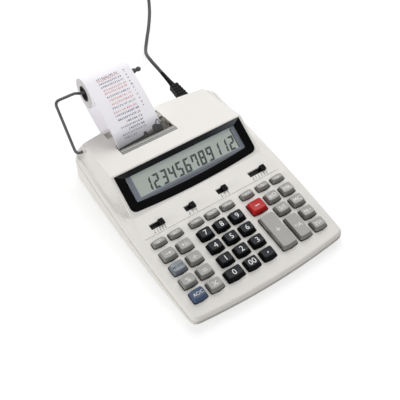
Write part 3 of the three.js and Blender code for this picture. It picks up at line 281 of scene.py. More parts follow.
INK_WHITE = material("ink_white", (246, 246, 244), rough=0.45, grain=0.2, bump=0.1, cloud=0.02,
                     cloud_size=2)
INK_DARK = material("ink_dark", (40, 50, 64), grain=0.2, bump=0.1, cloud=0.05, cloud_size=2)
INK_LABEL = material("ink_label", (52, 50, 48), grain=0.2, cloud=0.06, cloud_size=2)
TIP = material("arm_tip_rubber", (62, 62, 62), grain=0.5, bump=0.3, cloud=0.08)
RUBBER = material("rubber", (30, 30, 30), rough=0.75, grain=0.5, bump=0.4, cloud=0.1)
VINYL = material("vinyl", (44, 44, 45), specular=0.35, grain=0.7, bump=0.3, cloud=0.08)
PLUG = material("plug_vinyl", (9, 9, 9), rough=0.4, specular=0.06, grain=0.7, bump=0.3, cloud=0.08)
SWITCH = material("switch_black", (10, 10, 10), grain=0.3, bump=0.3, cloud=0.1, specular=0.12)
WIRE = material("dark_wire", (84, 85, 86), rough=0.42, grain=0.8, bump=0.2, cloud=0.06,
                cloud_size=6, metal=0.35)
BAR = material("tear_bar_grey", (116, 116, 113), rough=0.42, bump=0.15, cloud=0.04, metal=0.25)
RAIL = material("tear_bar_rail", (214, 214, 210), rough=0.4, cloud=0.04)
LUG = material("hinge_lug", (176, 172, 164), cloud=0.05)
MECH = material("mechanism_dark", (108, 104, 100), rough=0.55, grain=0.7, bump=0.3, cloud=0.12)
PLATES = material("drive_plate", (104, 96, 88), grain=0.7, bump=0.3, cloud=0.1)
LOOP = material("guide_wire", (74, 74, 74), rough=0.4, cloud=0.05)
MECH_LIGHT = material("mechanism_grey", (148, 141, 132), grain=0.7, bump=0.3, cloud=0.1)
STEEL = material("steel", (150, 150, 150), rough=0.3, grain=0.5, bump=0.1, metal=0.9)
BOARD = material("board_green", (45, 105, 66), cloud=0.05)
GLOWING_PAPER = material("paper", (247, 244, 248), rough=0.85, grain=0.25, bump=0.35, cloud=0.012,
                 cloud_size=5, specular=0.2)
# the paper glows a little: painted light
feed(shader_of(GLOWING_PAPER), Emission_Color=(0.95, 0.96, 1, 1), Emission_Strength=0.17)
CORE = material("paper_core", (58, 54, 50), rough=0.85, bump=0.5, cloud=0.08)
INKS = {name: material("ink_" + name, color, rough=0.8, cloud=cloud, cloud_size=2)
        for name, color, cloud in (
            ("blue", (120, 116, 152), 0.12), ("red", (226, 164, 164), 0.1),
            ("green", (150, 172, 150), 0.1), ("grey", (112, 112, 128), 0.12),
            ("faint", (176, 174, 188), 0.12), ("pink", (232, 130, 176), 0.1))}


def roll_side_material():
    """The wound edges of the paper: fine rings round the roll's axis."""
    mat = material("paper_edges", (222, 219, 220), rough=0.85, cloud=0.02)
    tree = mat.node_tree
    centre, pitch = DECK @ Vector((0, ROLL_Y, ROLL_Z)), 0.55 * MM
    moved = add(tree, "Mapping", Vector=object_place(tree), Location=(0, -centre.y, -centre.z))
    flat = add(tree, "VectorMath", moved, (0, 1, 1), operation="MULTIPLY")
    reach = add(tree, "VectorMath", flat, operation="LENGTH").outputs["Value"]
    rings = add(tree, "Math", reach, 2 * math.pi / pitch, operation="MULTIPLY")
    wave = add(tree, "Math", rings, operation="SINE")
    feed(shader_of(mat), Normal=add(tree, "Bump", Strength=0.5, Distance=0.1 * MM, Height=wave))
    return mat


def pane_material(name, *shade_tints):
    """Clear plastic. The painted shade tints, where given, are the arguments of levels_along."""
    mat = bpy.data.materials.new(name)
    tree = empty_tree(mat)
    tint = levels_along(tree, *shade_tints) if shade_tints else (0.98, 0.99, 0.99, 1)
    clear = add(tree, "BsdfTransparent", tint)
    shine = add(tree, "BsdfGlossy", Color=(1, 1, 1, 1), Roughness=0.05)
    facing = add(tree, "LayerWeight", Blend=0.5).outputs["Facing"]
    grazing = add(tree, "Math", facing, 5, operation="POWER")
    fresnel = add(tree, "Math", grazing, 0.9, 0.015, operation="MULTIPLY_ADD")
    add(tree, "OutputMaterial", add(tree, "MixShader", fresnel, clear, shine))
    return mat


# Lines and outlines

def on_circle(x, y, radius, angle):
    return x + radius * math.cos(angle), y + radius * math.sin(angle)


def disc(x, y, radius, steps=20):
    return [on_circle(x, y, radius, 2 * math.pi * k / steps) for k in range(steps)]


def bar(x0, y0, x1, y1, thick=0.6):
    """A straight stroke as four corners."""
    a, b = Vector((x0, y0)), Vector((x1, y1))
    side = (b - a).normalized().orthogonal() * thick / 2
    return [a + side, a - side, b - side, b + side]


def rounded_rect(x0, x1, y0, y1, radius, steps=4):
    return [Vector(on_circle(x, y, radius, (turn + i / steps) * math.pi / 2))
            for x, y, turn in ((x1 - radius, y1 - radius, 0), (x0 + radius, y1 - radius, 1),
                               (x0 + radius, y0 + radius, 2), (x1 - radius, y0 + radius, 3))
            for i in range(steps + 1)]


def arc_points(y, z, radius, start, end, steps):
    return [Vector((0, *on_circle(y, z, radius, start + (end - start) * i / steps)))
            for i in range(steps + 1)]


def bend_points(a, corner, b, steps):
    return [a * (1 - s) ** 2 + corner * 2 * s * (1 - s) + b * s * s
            for s in (i / steps for i in range(steps + 1))]


def through(points, steps=6):
    """A centripetal curve through the points, as part.mjs draws it."""
    points = [Vector(p) for p in points]
    padded = [points[0] * 2 - points[1], *points, points[-1] * 2 - points[-2]]
    line = []
    for p0, p1, p2, p3 in zip(padded, padded[1:], padded[2:], padded[3:]):
        t0, t1, t2 = ((b - a).length ** 0.5 for a, b in ((p0, p1), (p1, p2), (p2, p3)))
        m1 = ((p1 - p0) / t0 - (p2 - p0) / (t0 + t1) + (p2 - p1) / t1) * t1
        m2 = ((p2 - p1) / t1 - (p3 - p1) / (t1 + t2) + (p3 - p2) / t2) * t1
        for k in range(steps):
            s = k / steps
            line.append(p1 * (2 * s ** 3 - 3 * s * s + 1) + m1 * (s ** 3 - 2 * s * s + s)
                        + p2 * (3 * s * s - 2 * s ** 3) + m2 * (s ** 3 - s * s))
    return [*line, points[-1]]


def distances(line):
    """How far each point lies along the line from its start."""
    spots = [0.0]
    for a, b in zip(line, line[1:]):
        spots.append(spots[-1] + (b - a).length)
    return spots


def line_place(line, distance):
    """The point and heading on a line at a distance from its start."""
    for a, b in zip(line, line[1:]):
        step = (b - a).length
        if distance <= step:
            return a + (b - a) * (distance / step), (b - a) / step
        distance -= step
    return line[-1], (line[-1] - line[-2]).normalized()


def spread(line, count):
    """The line again, as points at even distances, with its ends kept."""
    total = distances(line)[-1]
    return [line_place(line, total * i / count)[0] for i in range(count + 1)]


def heading(line, i):
    """The direction of a line at one of its points."""
    return (line[min(i + 1, len(line) - 1)] - line[max(i - 1, 0)]).normalized()


# Meshes

def mesh_of(points, faces):
    mesh = bpy.data.meshes.new("mesh")
    mesh.from_pydata([tuple(p) for p in points], [], faces)
    mesh.update()
    return mesh


def rings_mesh(rings, ends="caps"):
    """A skin over rings of points: with caps, with open ends, or as a loop of rings."""
    count = len(rings[0])
    total = count * len(rings)
    faces = []
    for start in range(0, total if ends == "loop" else total - count, count):
        for i in range(count):
            a, b = start + i, start + (i + 1) % count
            faces.append((a, b, (b + count) % total, (a + count) % total))
    if ends == "caps":
        faces.append(tuple(reversed(range(count))))
        faces.append(tuple(range(total - count, total)))
    return mesh_of([p for ring in rings for p in ring], faces)


def tube_mesh(line, radius, sides=12):
    line = [Vector(p) for p in line]
    side = (line[1] - line[0]).normalized().orthogonal()
    rings = []
    for i, point in enumerate(line):
        along = heading(line, i)
        side = (side - along * side.dot(along)).normalized()
        up = along.cross(side)
        rings.append([point + side * u + up * v for u, v in disc(0, 0, radius, sides)])
    return rings_mesh(rings)


def lathe_x(profile, x, y, z, sides):
    """A closed profile of (radius, along) points turned round a line along x."""
    return rings_mesh([[(x + s, *on_circle(y, z, r, 2 * math.pi * k / sides)) for r, s in profile]
                       for k in range(sides)], "loop")


def prism_x(sections):
    """A solid through cross-sections (x, [(y, z), ...]) set along x."""
    return rings_mesh([[(x, y, z) for y, z in outline] for x, outline in sections])


def box_mesh(low, high):
    (x0, y0, z0), (x1, y1, z1) = low, high
    points = [(x, y, z) for z in (z0, z1) for y in (y0, y1) for x in (x0, x1)]
    return mesh_of(points, [(0, 2, 3, 1), (4, 5, 7, 6), (0, 1, 5, 4), (2, 6, 7, 3), (0, 4, 6, 2),
                            (1, 3, 7, 5)])


def gear_mesh(x0, x1, y, z, radius, tooth, count):
    outline = [on_circle(y, z, radius - tooth + tooth * rise, (i + turn) / count * 2 * math.pi)
               for i in range(count)
               for turn, rise in ((0, 0), (0.3, 0), (0.42, 1), (0.88, 1))]
    return prism_x([(x0, outline), (x1, outline)])


def strokes_mesh(shapes):
    points, faces = [], []
    for shape in shapes:
        faces.append(tuple(range(len(points), len(points) + len(shape))))
        points += [(p[0], p[1], 0) for p in shape]
    return mesh_of(points, faces)


def merged(meshes):
    """One mesh of several."""
    points, faces = [], []
    for mesh in meshes:
        faces += [tuple(len(points) + i for i in p.vertices) for p in mesh.polygons]
        points += [tuple(v.co) for v in mesh.vertices]
        bpy.data.meshes.remove(mesh)
    return mesh_of(points, faces)


def text_mesh(body, size, resolution, bold=0.0):
    """Flat lettering as a mesh in millimetres, centred on its own middle."""
    curve = bpy.data.curves.new("lettering", "FONT")
    curve.body = body
    curve.size = size
    curve.resolution_u = resolution
    curve.offset = bold
    holder = linked("lettering", curve)
    bpy.context.view_layer.update()
    depsgraph = bpy.context.evaluated_depsgraph_get()
    mesh = bpy.data.meshes.new_from_object(holder.evaluated_get(depsgraph))
    bpy.data.objects.remove(holder)
    bpy.data.curves.remove(curve)
    xs = [v.co.x for v in mesh.vertices]
    ys = [v.co.y for v in mesh.vertices]
    mesh.transform(Matrix.Translation((-(min(xs) + max(xs)) / 2, -(min(ys) + max(ys)) / 2, 0)))
    return mesh


# Pieces

def new_object(name, mesh, mats, matrix=None):
    if matrix is not None:
        mesh.transform(matrix)
    mesh.name = name
    mesh.materials.clear()
    for mat in mats:
        mesh.materials.append(mat)
    return linked(name, mesh)


def smooth(piece, angle, weld=False):
    """Smooth shading, with the edges sharper than the angle kept crisp."""
    bm = bmesh.new()
    bm.from_mesh(piece.data)
    if weld:
        bmesh.ops.remove_doubles(bm, verts=bm.verts, dist=1e-6)
    bmesh.ops.recalc_face_normals(bm, faces=bm.faces)
    limit = math.radians(angle)
    for face in bm.faces:
        face.smooth = True
    for edge in bm.edges:
        edge.smooth = len(edge.link_faces) == 2 and edge.calc_face_angle(0) < limit
    bm.to_mesh(piece.data)
    bm.free()


def soften(piece, width):
    bevel = piece.modifiers.new("edges", "BEVEL")
    bevel.width = width * MM
    bevel.segments = 2
    bevel.limit_method = "ANGLE"
    bevel.angle_limit = math.radians(40)
    piece.modifiers.new("weights", "WEIGHTED_NORMAL")


def fit(name, mesh, mats, slot, body="case", node=None, place=DECK, angle=None, edge=None,
        weld=False, bend=None):
    """A piece in its place, shaded smooth below an angle, with its edges rounded, on its body.
    It may stand for a CAD node. A bend holds a start and an end point, which go unused; with one
    given, the piece is baked in place and put on no body."""
    piece = new_object(name, mesh, mats, place)
    if edge:
        soften(piece, edge)
    if angle:
        smooth(piece, angle, weld)
    if bend:
        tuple(bend[0])
        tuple(bend[1])
        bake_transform(piece)
    else:
        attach(piece, body)
    if node:
        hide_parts(node)
    return piece


def paint(piece, choose):
    """Gives each face the material whose number choose(face) returns."""
    for face in piece.data.polygons:
        face.material_index = choose(face)


def skin(node, mats, slot, body="case", angle=40):
    """A smooth-shaded copy that stands for a CAD node."""
    mesh = NODES[node].data.copy()
    layer = mesh.attributes.get("custom_normal")
    if layer:
        mesh.attributes.remove(layer)
    piece = fit(node + "_skin", mesh, mats, slot, body, node, None, angle, weld=True)
    weights = piece.modifiers.new("weights", "WEIGHTED_NORMAL")
    weights.keep_sharp = True
    weights.weight = 80
    return piece


# The cord

LEAD_ROUTE = [
    (62.6, 236, 32.1), (63.4, 246, 31.3), (65.4, 256, 28.9), (68.4, 266, 24.9),
    (72.3, 276, 19.7), (76.9, 286, 14.1), (82.2, 296, 9), (88.2, 306, 5.2),
    (95, 316, 3), (103, 327, 2.3), (113.5, 341, 2.3), (126, 358.5, 2.3),
    (138, 377, 2.3), (148.9, 396, 2.3), (158.8, 416, 2.3), (167.5, 437, 2.3),
]
PLUG_X, PLUG_Z, PLUG_END = 62.4, -10.4, REAR_CORNER_Y + 3 + 28 + 26
PLUG_BODY = 34.5
TURNS, LAYERS, TURN_STEPS, TAIL_STEPS = 9.25, 4, 24, 6
COIL_R, COIL_PITCH, LAYER_RISE, CLIMB = 25.7, 5.4, 5.4, 0.5
COIL_HEADING = math.radians(69)
TAIL, MAINS_PLUG_HEIGHT = 50.6, 14


def deck_to_floor(point):
    return Matrix.Rotation(TILT, 3, "X") @ Vector(point) + Vector((0, 0, RISE))


def smoothstep(value):
    value = min(max(value, 0), 1)
    return value * value * (3 - 2 * value)


def coil_line():
    last = Vector(LEAD_ROUTE[-1])
    ahead = Vector((*on_circle(0, 0, 1, COIL_HEADING), 0))
    right = Vector((ahead.y, -ahead.x, 0))
    start = last + ahead * GAP
    layer_turns = TURNS / LAYERS
    outer = COIL_R + COIL_PITCH * layer_turns / 2
    centre = start + ahead * 2 * CORD_R + right * outer
    first_angle = math.atan2(-right.y, -right.x)
    points = [start]
    for i in range(int(TURNS * TURN_STEPS) + 1):
        turns = i / TURN_STEPS
        level = layer = min(int(turns / layer_turns), LAYERS - 1)
        along = turns - layer * layer_turns
        inward = along if layer % 2 == 0 else layer_turns - along
        reversal = math.floor(turns / layer_turns + 0.5)
        if 0 < reversal < LAYERS:
            climb = (turns - reversal * layer_turns) / CLIMB + 0.5
            level = reversal - 1 + smoothstep(climb)
        spot = on_circle(centre.x, centre.y, outer - COIL_PITCH * inward,
                         first_angle - turns * 2 * math.pi)
        points.append(Vector((*spot, last.z + LAYER_RISE * level)))
    end = points[-1].copy()
    last_angle = first_angle - TURNS * 2 * math.pi
    onward = Vector((math.sin(last_angle), -math.cos(last_angle), 0))
    for i in range(1, TAIL_STEPS + 1):
        share = i / TAIL_STEPS
        point = end + onward * TAIL * share
        point.z -= (end.z - MAINS_PLUG_HEIGHT / 2) * smoothstep(share)
        points.append(point)
    points.append(points[-1] + onward * 2 * CORD_R)
    return points


def make_cord():
    first = [deck_to_floor((PLUG_X, y, PLUG_Z)) for y in (PLUG_END, PLUG_END + 2 * CORD_R)]
    lead = through([*first, *LEAD_ROUTE])
    line = [FLOOR_FRAME @ p for p in [*lead, *through(coil_line(), 2)]]
    # The curve swells a little between its points, so it is held inside the solids' box
    for p in line:
        p.y = min(p.y, cad_box[1][1] - CORD_R * MM)
        p.z = max(p.z, cad_box[0][2] + CORD_R * MM)
    cord = new_object("cord", tube_mesh(line, CORD_SKIN_R * MM, 16), [VINYL])
    smooth(cord, 60)
    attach(cord, "case")
    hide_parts("cord_lead", "cord_coil")
    power_plug = skin("power_plug", [PLUG], "black_vinyl")
    mains_plug = skin("mains_plug", [PLUG, STEEL], "black_vinyl")
    onward = (line[-1] - line[-2]).normalized()
    paint(mains_plug, lambda face: (face.center - line[-1]).dot(onward) > PLUG_BODY * MM)
    tuple(line[0])
    distances(line)[-1]
    [tuple(p) for p in line]


make_camera()
make_cord()
make_world()
make_floor()
area_lamp("softbox_top", (0.72, 0.85, 1.15), (0, 0, 0), (1.4, 1.1), 18)
area_lamp("softbox_left", (-1.7, 0.1, 0.3), (0, 0, 0.03), (1.2, 0.5), 13)
area_lamp("softbox_front", (-0.1, -1.5, 0.5), (0, 0, 0), (1.4, 0.6), 3.9)
bpy.context.scene.view_settings.view_transform = "Standard"


# The case, with painted shade on the faces of its tray that look to the front

FRONT_FACING = -0.8
skin("upper_case", [CASE], "case_white")
lower_case = skin("lower_case", [CASE_LOW, CASE_PAINTED_SHADE], "case_white")
paint(lower_case, lambda face: face.normal.y < FRONT_FACING)
for corner in ("front_left", "front_right", "rear_left", "rear_right"):
    skin("foot_" + corner, [RUBBER], "black_rubber")
skin("printer_frame", [MECH], "dark_plastic")
skin("tear_bar", [BAR], "grey_metal")
skin("main_board", [BOARD], "board_green")
skin("lcd_panel", [SURROUND], "lcd_green")
skin("platen_roller", [RUBBER], "black_rubber", "platen")


# The keys

LEFT_X, NUMBER_X, SIGN_X, RIGHT_X = -84.75, -39.15, 25.25, 47.95
PITCH_X, PITCH_Y = 20, 17.74
KEY_W, KEY_D, KEY_H = 16.6, 13, 5.4
SMALL_Y, SMALL_D, SMALL_H = 14.7, 8.2, 4.6
SIGN_W, MINUS_D, PLUS_BACK = 19.4, 15.7, -21.3
FRONT_Y = -3 * PITCH_Y - KEY_D
ZERO_EXTRA = 4.3
DIP, SKIRT_Z, BOW, TOP_BOW = 0.45, -2.7, 0.9, 0.675
CORNER_R, TOP_CORNER_R = 1.5, 1.8
LEGEND_SHIFT, LEGEND_LIFT, LONG_EDGE = 0.2, 0.035, 0.8

# Rings up a key's side, as shares of its height and of how far its top is set in
KEY_SIDE = [(0, 0), (0.2, 0.145), (0.33, 0.24), (0.6, 0.46), (0.88, 0.74), (0.95, 0.82),
            (0.985, 0.89), (1, 0.98), (1, 1.06), (1, 1.2)]
TOP_SHARES = (0.8, 0.55, 0.3, 0.1)
SIDE_INSET, FRONT_INSET, BACK_INSET = 2.0, 3.2, 1.0
# bands from the bottom of a cap: painted contact shadow, then painted shade on the flanks
PAINTED_SHADOW_BANDS, SHADED_FLANK_BANDS = 2, 6

LEGENDS = {
    "minus": [bar(-2.8, 0, 2.8, 0, 0.8)],
    "plus": [bar(-2.7, 0, 2.7, 0, 0.7), bar(0, -2.7, 0, -0.35, 0.7), bar(0, 0.35, 0, 2.7, 0.7)],
    "times": [bar(-2.5, -2.5, 2.5, 2.5), bar(-2.5, 2.5, -0.22, 0.22), bar(0.22, -0.22, 2.5, -2.5)],
    "divide": [bar(-2.5, 0, 2.5, 0), disc(0, 1.6, 0.48), disc(0, -1.6, 0.48)],
    "arrow": [bar(-3.4, 0, 1.2, 0), [(1.0, 1.2), (1.0, -1.2), (3.4, 0)]],
    "=": [bar(-2.5, 1.0, 2.5, 1.0), bar(-2.5, -1.0, 2.5, -1.0)],
    ".": [disc(0, 0, 0.8)],
}


def key_ring(half, back, front, bow, z, radius):
    """Round-cornered ring of a key, bowed at its front edge."""
    steps, side_steps = 5, 6
    corners = rounded_rect(-half, half, front, back, radius, steps)
    ring = []
    for i, p in enumerate(corners):
        q = corners[(i + 1) % len(corners)]
        count = side_steps if (i + 1) % (steps + 1) == 0 else 1
        ring += [p.lerp(q, k / count) for k in range(count)]
    for p in ring:
        share = max(0, ((back + front) / 2 - p.y) / ((back - front) / 2))
        p.y -= bow * max(0, 1 - (p.x / half) ** 2) * share ** 2
    return [Vector((*p, z)) for p in ring]


def keycap(width, depth, height):
    """A cap's mesh, how many faces a ring of it has, and how deep its dished top lies."""
    half, edge = width / 2, KEY_SIDE[-1][1]
    rings = [key_ring(half, 0, -depth, BOW, SKIRT_Z, CORNER_R)]
    for rise, inset in KEY_SIDE:
        rings.append(key_ring(half - SIDE_INSET * inset, -BACK_INSET * inset,
                              FRONT_INSET * inset - depth, BOW + (TOP_BOW - BOW) * rise,
                              height * rise, CORNER_R + (TOP_CORNER_R - CORNER_R) * rise))
    inner_half = half - SIDE_INSET * edge
    top_back, top_front = -BACK_INSET * edge, FRONT_INSET * edge - depth
    mid_y, deep = (top_back + top_front) / 2, (top_back - top_front) / 2

    def dish(x, y):
        u = min(abs(x) / inner_half, 1)
        return DIP * (1 - u * u) * max(0, 1 - abs((y - mid_y) / deep) ** 3)

    rim = rings[-1]
    middle = Vector((0, mid_y, height))
    rings += [[middle.lerp(p, share) for p in rim] for share in TOP_SHARES]
    for ring in rings[len(KEY_SIDE):]:
        for p in ring:
            p.z -= dish(p.x, p.y)
    return rings_mesh(rings), len(rim), dish


def conform(mesh, drop):
    """Cuts a flat lettering mesh finer and lays it on a surface given by drop(x, y)."""
    bm = bmesh.new()
    bm.from_mesh(mesh)
    bmesh.ops.triangulate(bm, faces=bm.faces)
    long_edges = [e for e in bm.edges if e.calc_length() > LONG_EDGE]
    bmesh.ops.subdivide_edges(bm, edges=long_edges, cuts=1)
    bmesh.ops.triangulate(bm, faces=bm.faces)
    for v in bm.verts:
        v.co.z = drop(v.co.x, v.co.y)
    bm.normal_update()
    if sum(f.normal.z for f in bm.faces) < 0:
        bmesh.ops.reverse_faces(bm, faces=bm.faces)
    bm.to_mesh(mesh)
    bm.free()


def make_key(name, left, back, legend, size, finish="grey", width=KEY_W, depth=KEY_D,
             height=KEY_H):
    body, centre = name + "_body", LEGEND_SHIFT - depth / 2
    slot, ink = ("key_grey", INK_DARK) if finish == "slate" else ("key_" + finish, INK_WHITE)
    place = DECK @ Matrix.Translation((left + width / 2, back, 0))
    mesh, count, dish = keycap(width, depth, height)
    cap = fit(name + "_cap", mesh, KEY_FINISHES[finish], slot, body, name, place, 50)
    # the lowest bands get the painted contact shadow and the flanks the painted shade
    paint(cap, lambda face: 2 if face.index < PAINTED_SHADOW_BANDS * count
          else face.index < SHADED_FLANK_BANDS * count)
    if legend in LEGENDS:
        letters = strokes_mesh(LEGENDS[legend])
    else:
        letters = text_mesh(legend, size, 4, 0.03 if legend == "MODE" else 0)
    conform(letters, lambda x, y: height + LEGEND_LIFT - dish(x, y + centre))
    fit(name + "_legend", letters, [ink], slot, body,
        place=place @ Matrix.Translation((0, centre, 0)))


def make_keys():
    columns = [LEFT_X, LEFT_X + PITCH_X, NUMBER_X, NUMBER_X + PITCH_X, NUMBER_X + 2 * PITCH_X,
               SIGN_X + (SIGN_W - KEY_W) / 2, RIGHT_X, RIGHT_X + PITCH_X]
    legends = ["GT", "SET", "IN", "OUT", "MU", "AV", "%-", "%+"]
    for i, left in enumerate(columns):
        make_key(f"key_top_{i + 1}", left, SMALL_Y, legends[i], 4.7, depth=SMALL_D, height=SMALL_H)
    first = [("arrow", 7, "grey"), ("MODE", 4.4, "slate"), ("%", 7, "grey"), ("AC/C", 4.9, "blue")]
    second = ["+/-", "divide", "=", "times"]
    memory = ["MR", "MC", "M\u2212", "M+"]
    for row in range(4):
        back = -row * PITCH_Y
        make_key(f"key_left_a{row + 1}", LEFT_X, back, *first[row])
        make_key(f"key_left_b{row + 1}", LEFT_X + PITCH_X, back, second[row], 7)
        make_key(f"key_memory_{row + 1}", RIGHT_X + PITCH_X, back, memory[row], 6.8)
    for row, names in enumerate(("7 8 9", "4 5 6", "1 2 3", "0 00 point")):
        for column, name in enumerate(names.split()):
            extra = ZERO_EXTRA if name == "0" else 0
            make_key("key_" + name, NUMBER_X + column * PITCH_X - extra, -row * PITCH_Y,
                     "." if name == "point" else name, 8.8, "black", KEY_W + extra)
    make_key("key_minus", SIGN_X, 0, "minus", 8, "red", SIGN_W, MINUS_D)
    make_key("key_plus", SIGN_X, PLUS_BACK, "plus", 8, "grey", SIGN_W, PLUS_BACK - FRONT_Y)
    make_key("key_right_c1", RIGHT_X, 0, "#/D", 6.2)
    make_key("key_right_c2", RIGHT_X, -PITCH_Y, "S/T", 6.2)
    make_key("key_total", RIGHT_X, -2 * PITCH_Y, "*/A", 6.4, depth=-2 * PITCH_Y - FRONT_Y)


make_keys()


# The display

TOP_STEPS, END_STEPS, LOW_STEPS = 40, 14, 48
SLOPE_BAND, SILL_BAND, SILL_BOW = 3, 5, 3.0
DIGIT_W, DIGIT_H, DIGIT_PITCH, DIGIT_X, DIGIT_Y = 5.2, 13.7, 9.96, -53.25, 17.6
STROKE, STROKE_GAP, SLANT = 2.3, 0.1, math.tan(math.radians(8))
SHOWN = "123456789112"
LIT = {"1": "bc", "2": "abged", "3": "abgcd", "4": "fgbc", "5": "afgcd", "6": "afgedc",
       "7": "fabc", "8": "abcdefg", "9": "abcdfg"}


def bezel_sides():
    """The bezel's outline as its four sides, anticlockwise from the top right corner."""
    half, top, low, radius, bow, steps = 80.8, 46.8, 4.6, 7.0, 3.2, 12
    turn = bend_points(Vector((-half, low + radius)), Vector((-half, low)),
                       Vector((radius - half, low - bow / radius)), steps)
    end = turn[-1]
    bottom = bend_points(end, Vector((0, low - 2 * bow)), Vector((-end.x, end.y)), steps)
    other = [Vector((-p.x, p.y)) for p in reversed(turn)]
    return [[Vector((half, top)), Vector((-half, top))],
            [Vector((-half, top)), *turn[:7]],
            [*turn[6:-1], *bottom, *other[1:7]],
            [*other[6:], Vector((half, top))]]


def segment_shapes():
    """The seven segments of a digit as mitred bars, from its lower left corner."""
    width, height, gap, t, mid = DIGIT_W, DIGIT_H, STROKE_GAP, STROKE / 2, DIGIT_H / 2

    def flipped(points, over_x, over_y):
        """The points mirrored in the digit's upright or level middle line."""
        turned = [(width - x if over_x else x, height - y if over_y else y) for x, y in points]
        return turned if over_x == over_y else turned[::-1]

    low = [(gap - t, -t), (width + t - gap, -t), (width - t - gap, t), (t + gap, t)]
    side = [(-t, gap - t), (t, gap + t), (t, mid - t - gap), (0, mid - gap), (-t, mid - gap)]
    middle = [(gap, mid), (gap + t, mid - t), (width - gap - t, mid - t), (width - gap, mid),
              (width - gap - t, mid + t), (gap + t, mid + t)]
    return {"a": flipped(low, False, True), "g": middle, "d": low,
            "f": flipped(side, False, True), "b": flipped(side, True, True), "e": side,
            "c": flipped(side, True, False)}


def make_bezel(x0, x1, y0, y1):
    """The frame round the window, with a bowed sill below it."""
    corners = [Vector((x1, y1)), Vector((x0, y1)), Vector((x0, y0)), Vector((x1, y0))]
    out_line, in_line, glass_line = [], [], []
    for i, side in enumerate(bezel_sides()):
        steps = (TOP_STEPS, END_STEPS, LOW_STEPS, END_STEPS)[i]
        out_line += spread(side, steps)[:-1]
        glass_line += spread([corners[i], corners[(i + 1) % 4]], steps)[:-1]
    for p in glass_line:
        bow = SILL_BOW * (1 - (2 * (p.x - x0) / (x1 - x0) - 1) ** 2)
        in_line.append(Vector((p.x, p.y - (bow if p.y == y0 else 0))))

    def ring(share, z, inner=in_line):
        return [Vector((*a.lerp(b, share), z)) for a, b in zip(out_line, inner)]

    rings = [ring(0, -1.55), ring(0, 0.22), ring(0.02, 0.38), ring(0.07, 0.4), ring(0.93, -1.1),
             ring(1, -1.3), ring(1, -1.45, glass_line), ring(1, -1.55, glass_line)]
    bezel = fit("bezel_frame", rings_mesh(rings, "loop"), [BEZEL, BEZEL_PAINTED_REFLECTION, SILL], "black_gloss",
                node="display_window", place=POD, angle=9)
    low_side = range(TOP_STEPS + END_STEPS, TOP_STEPS + END_STEPS + LOW_STEPS)

    def choose(face):
        band, place = divmod(face.index, len(out_line))
        if band == SILL_BAND and place in low_side:
            return 2
        # the top of the inner slope gets the painted reflection
        return 1 if band == SLOPE_BAND and place < TOP_STEPS else 0

    paint(bezel, choose)


def make_display():
    x0, x1, y0, y1, play = -70.4, 71.2, 13, 41.1, 0.05
    left, right, low, high = -63.5, 66.3, 16, 40.7
    make_bezel(x0, x1, y0, y1)
    fit("window_pane", box_mesh((x0 + play, y0 + play, -1.5), (x1 - play, y1 - play, -1.2)),
        [pane_material("window_pane")], "black_gloss", place=POD)
    rings = [[Vector((*p, z)) for p in rounded_rect(a, b, c, d, r)] for a, b, c, d, r, z in (
        (x0 + 0.1, x1 - 0.1, y0 + 0.1, y1 - 0.1, 1.2, -1.65),
        (x0 + 0.3, x1 - 0.3, y0 + 0.3, y1 - 0.15, 1.2, -2.7),
        (left - 0.4, right + 0.4, low - 0.4, high + 0.3, 0.5, -3.1),
        (left, right, low, high, 0.3, -3.35))]
    fit("display_surround", rings_mesh(rings, "open"), [SURROUND], "lcd_green", place=POD,
        angle=25)
    fit("lcd_glass", box_mesh((left - 0.3, low - 0.3, -3.9), (right + 0.3, high + 0.3, -3.4)),
        [LCD], "lcd_green", place=POD)
    fit("lcd_edge", box_mesh((right - 1.2, low + 0.2, -3.4), (right, high - 1.0, -3.35)),
        [SEGMENT], "lcd_green", place=POD)
    shapes = segment_shapes()
    lit = []
    for place, digit in enumerate(SHOWN):
        start = DIGIT_X + place * DIGIT_PITCH
        for letter in LIT[digit]:
            lit.append([(start + x + y * SLANT, DIGIT_Y + y) for x, y in shapes[letter]])
    fit("lcd_digits", strokes_mesh(lit), [SEGMENT], "lcd_green",
        place=POD @ Matrix.Translation((0, 0, -3.38)))


make_display()


# The slide switches: each slot's left end, its length and the digits beside it

SWITCH_Y, TICK_Y, TICK_TOP, MARK_Y, MARK_SIZE = 31.4, 25.2, 27.3, 23.7, 2.9
SLOTS = {
    "switch_round": (-74.3, 17.0, "01234"),
    "switch_item": (-31.4, 13.2, "012"),
    "switch_total": (10.2, 13.4, "012"),
    "switch_decimal": (53.3, 22.4, "012346"),
}


def make_switches():
    for name, (left, length, marks) in SLOTS.items():
        body, right = name + "_body", left + length
        skin(name, [SWITCH], "switch_black", body, 35)
        well = box_mesh((left - 3, SWITCH_Y - 6, -6.4), (right + 3, SWITCH_Y + 6, -5.9))
        fit(name + "_well", well, [SWITCH], "switch_black")
        ridges = [box_mesh((x - 0.25, SWITCH_Y - 2.4, 0), (x + 0.25, SWITCH_Y + 2.4, 3.4))
                  for x in (right - 2.5, right - 3.7, right - 4.9)]
        fit(name + "_grip", merged(ridges), [SWITCH], "switch_black", body, edge=0.12)
        spots = [left + 2.2 + i * (length - 4.4) / (len(marks) - 1) for i in range(len(marks))]
        pieces = [strokes_mesh([bar(x, TICK_Y, x, TICK_TOP) for x in spots])]
        for x, mark in zip(spots, marks):
            digit = text_mesh(mark, MARK_SIZE, 2, 0.09)
            digit.transform(Matrix.Translation((x - 0.6, MARK_Y, 0)))
            pieces.append(digit)
        fit(name + "_marks", merged(pieces), [INK_LABEL], "case_white",
            place=DECK @ Matrix.Translation((0, 0, 0.03)))


make_switches()


# The paper: the line that it follows, as part.mjs works it out

TAPE_R = ROLL_R + GAP + PAPER_THICK / 2
WRAP_R = PLATEN_R + GAP + PAPER_THICK / 2
QUARTER = math.pi / 2
LEAVE_ARCH, MEET_ARCH = math.radians(22), math.radians(12)
FEED_SLOT_Z, OVERRUN = -1.4, 2
SHEET, BULGE, FREE_LENGTH = 0.14, 0.5, 72


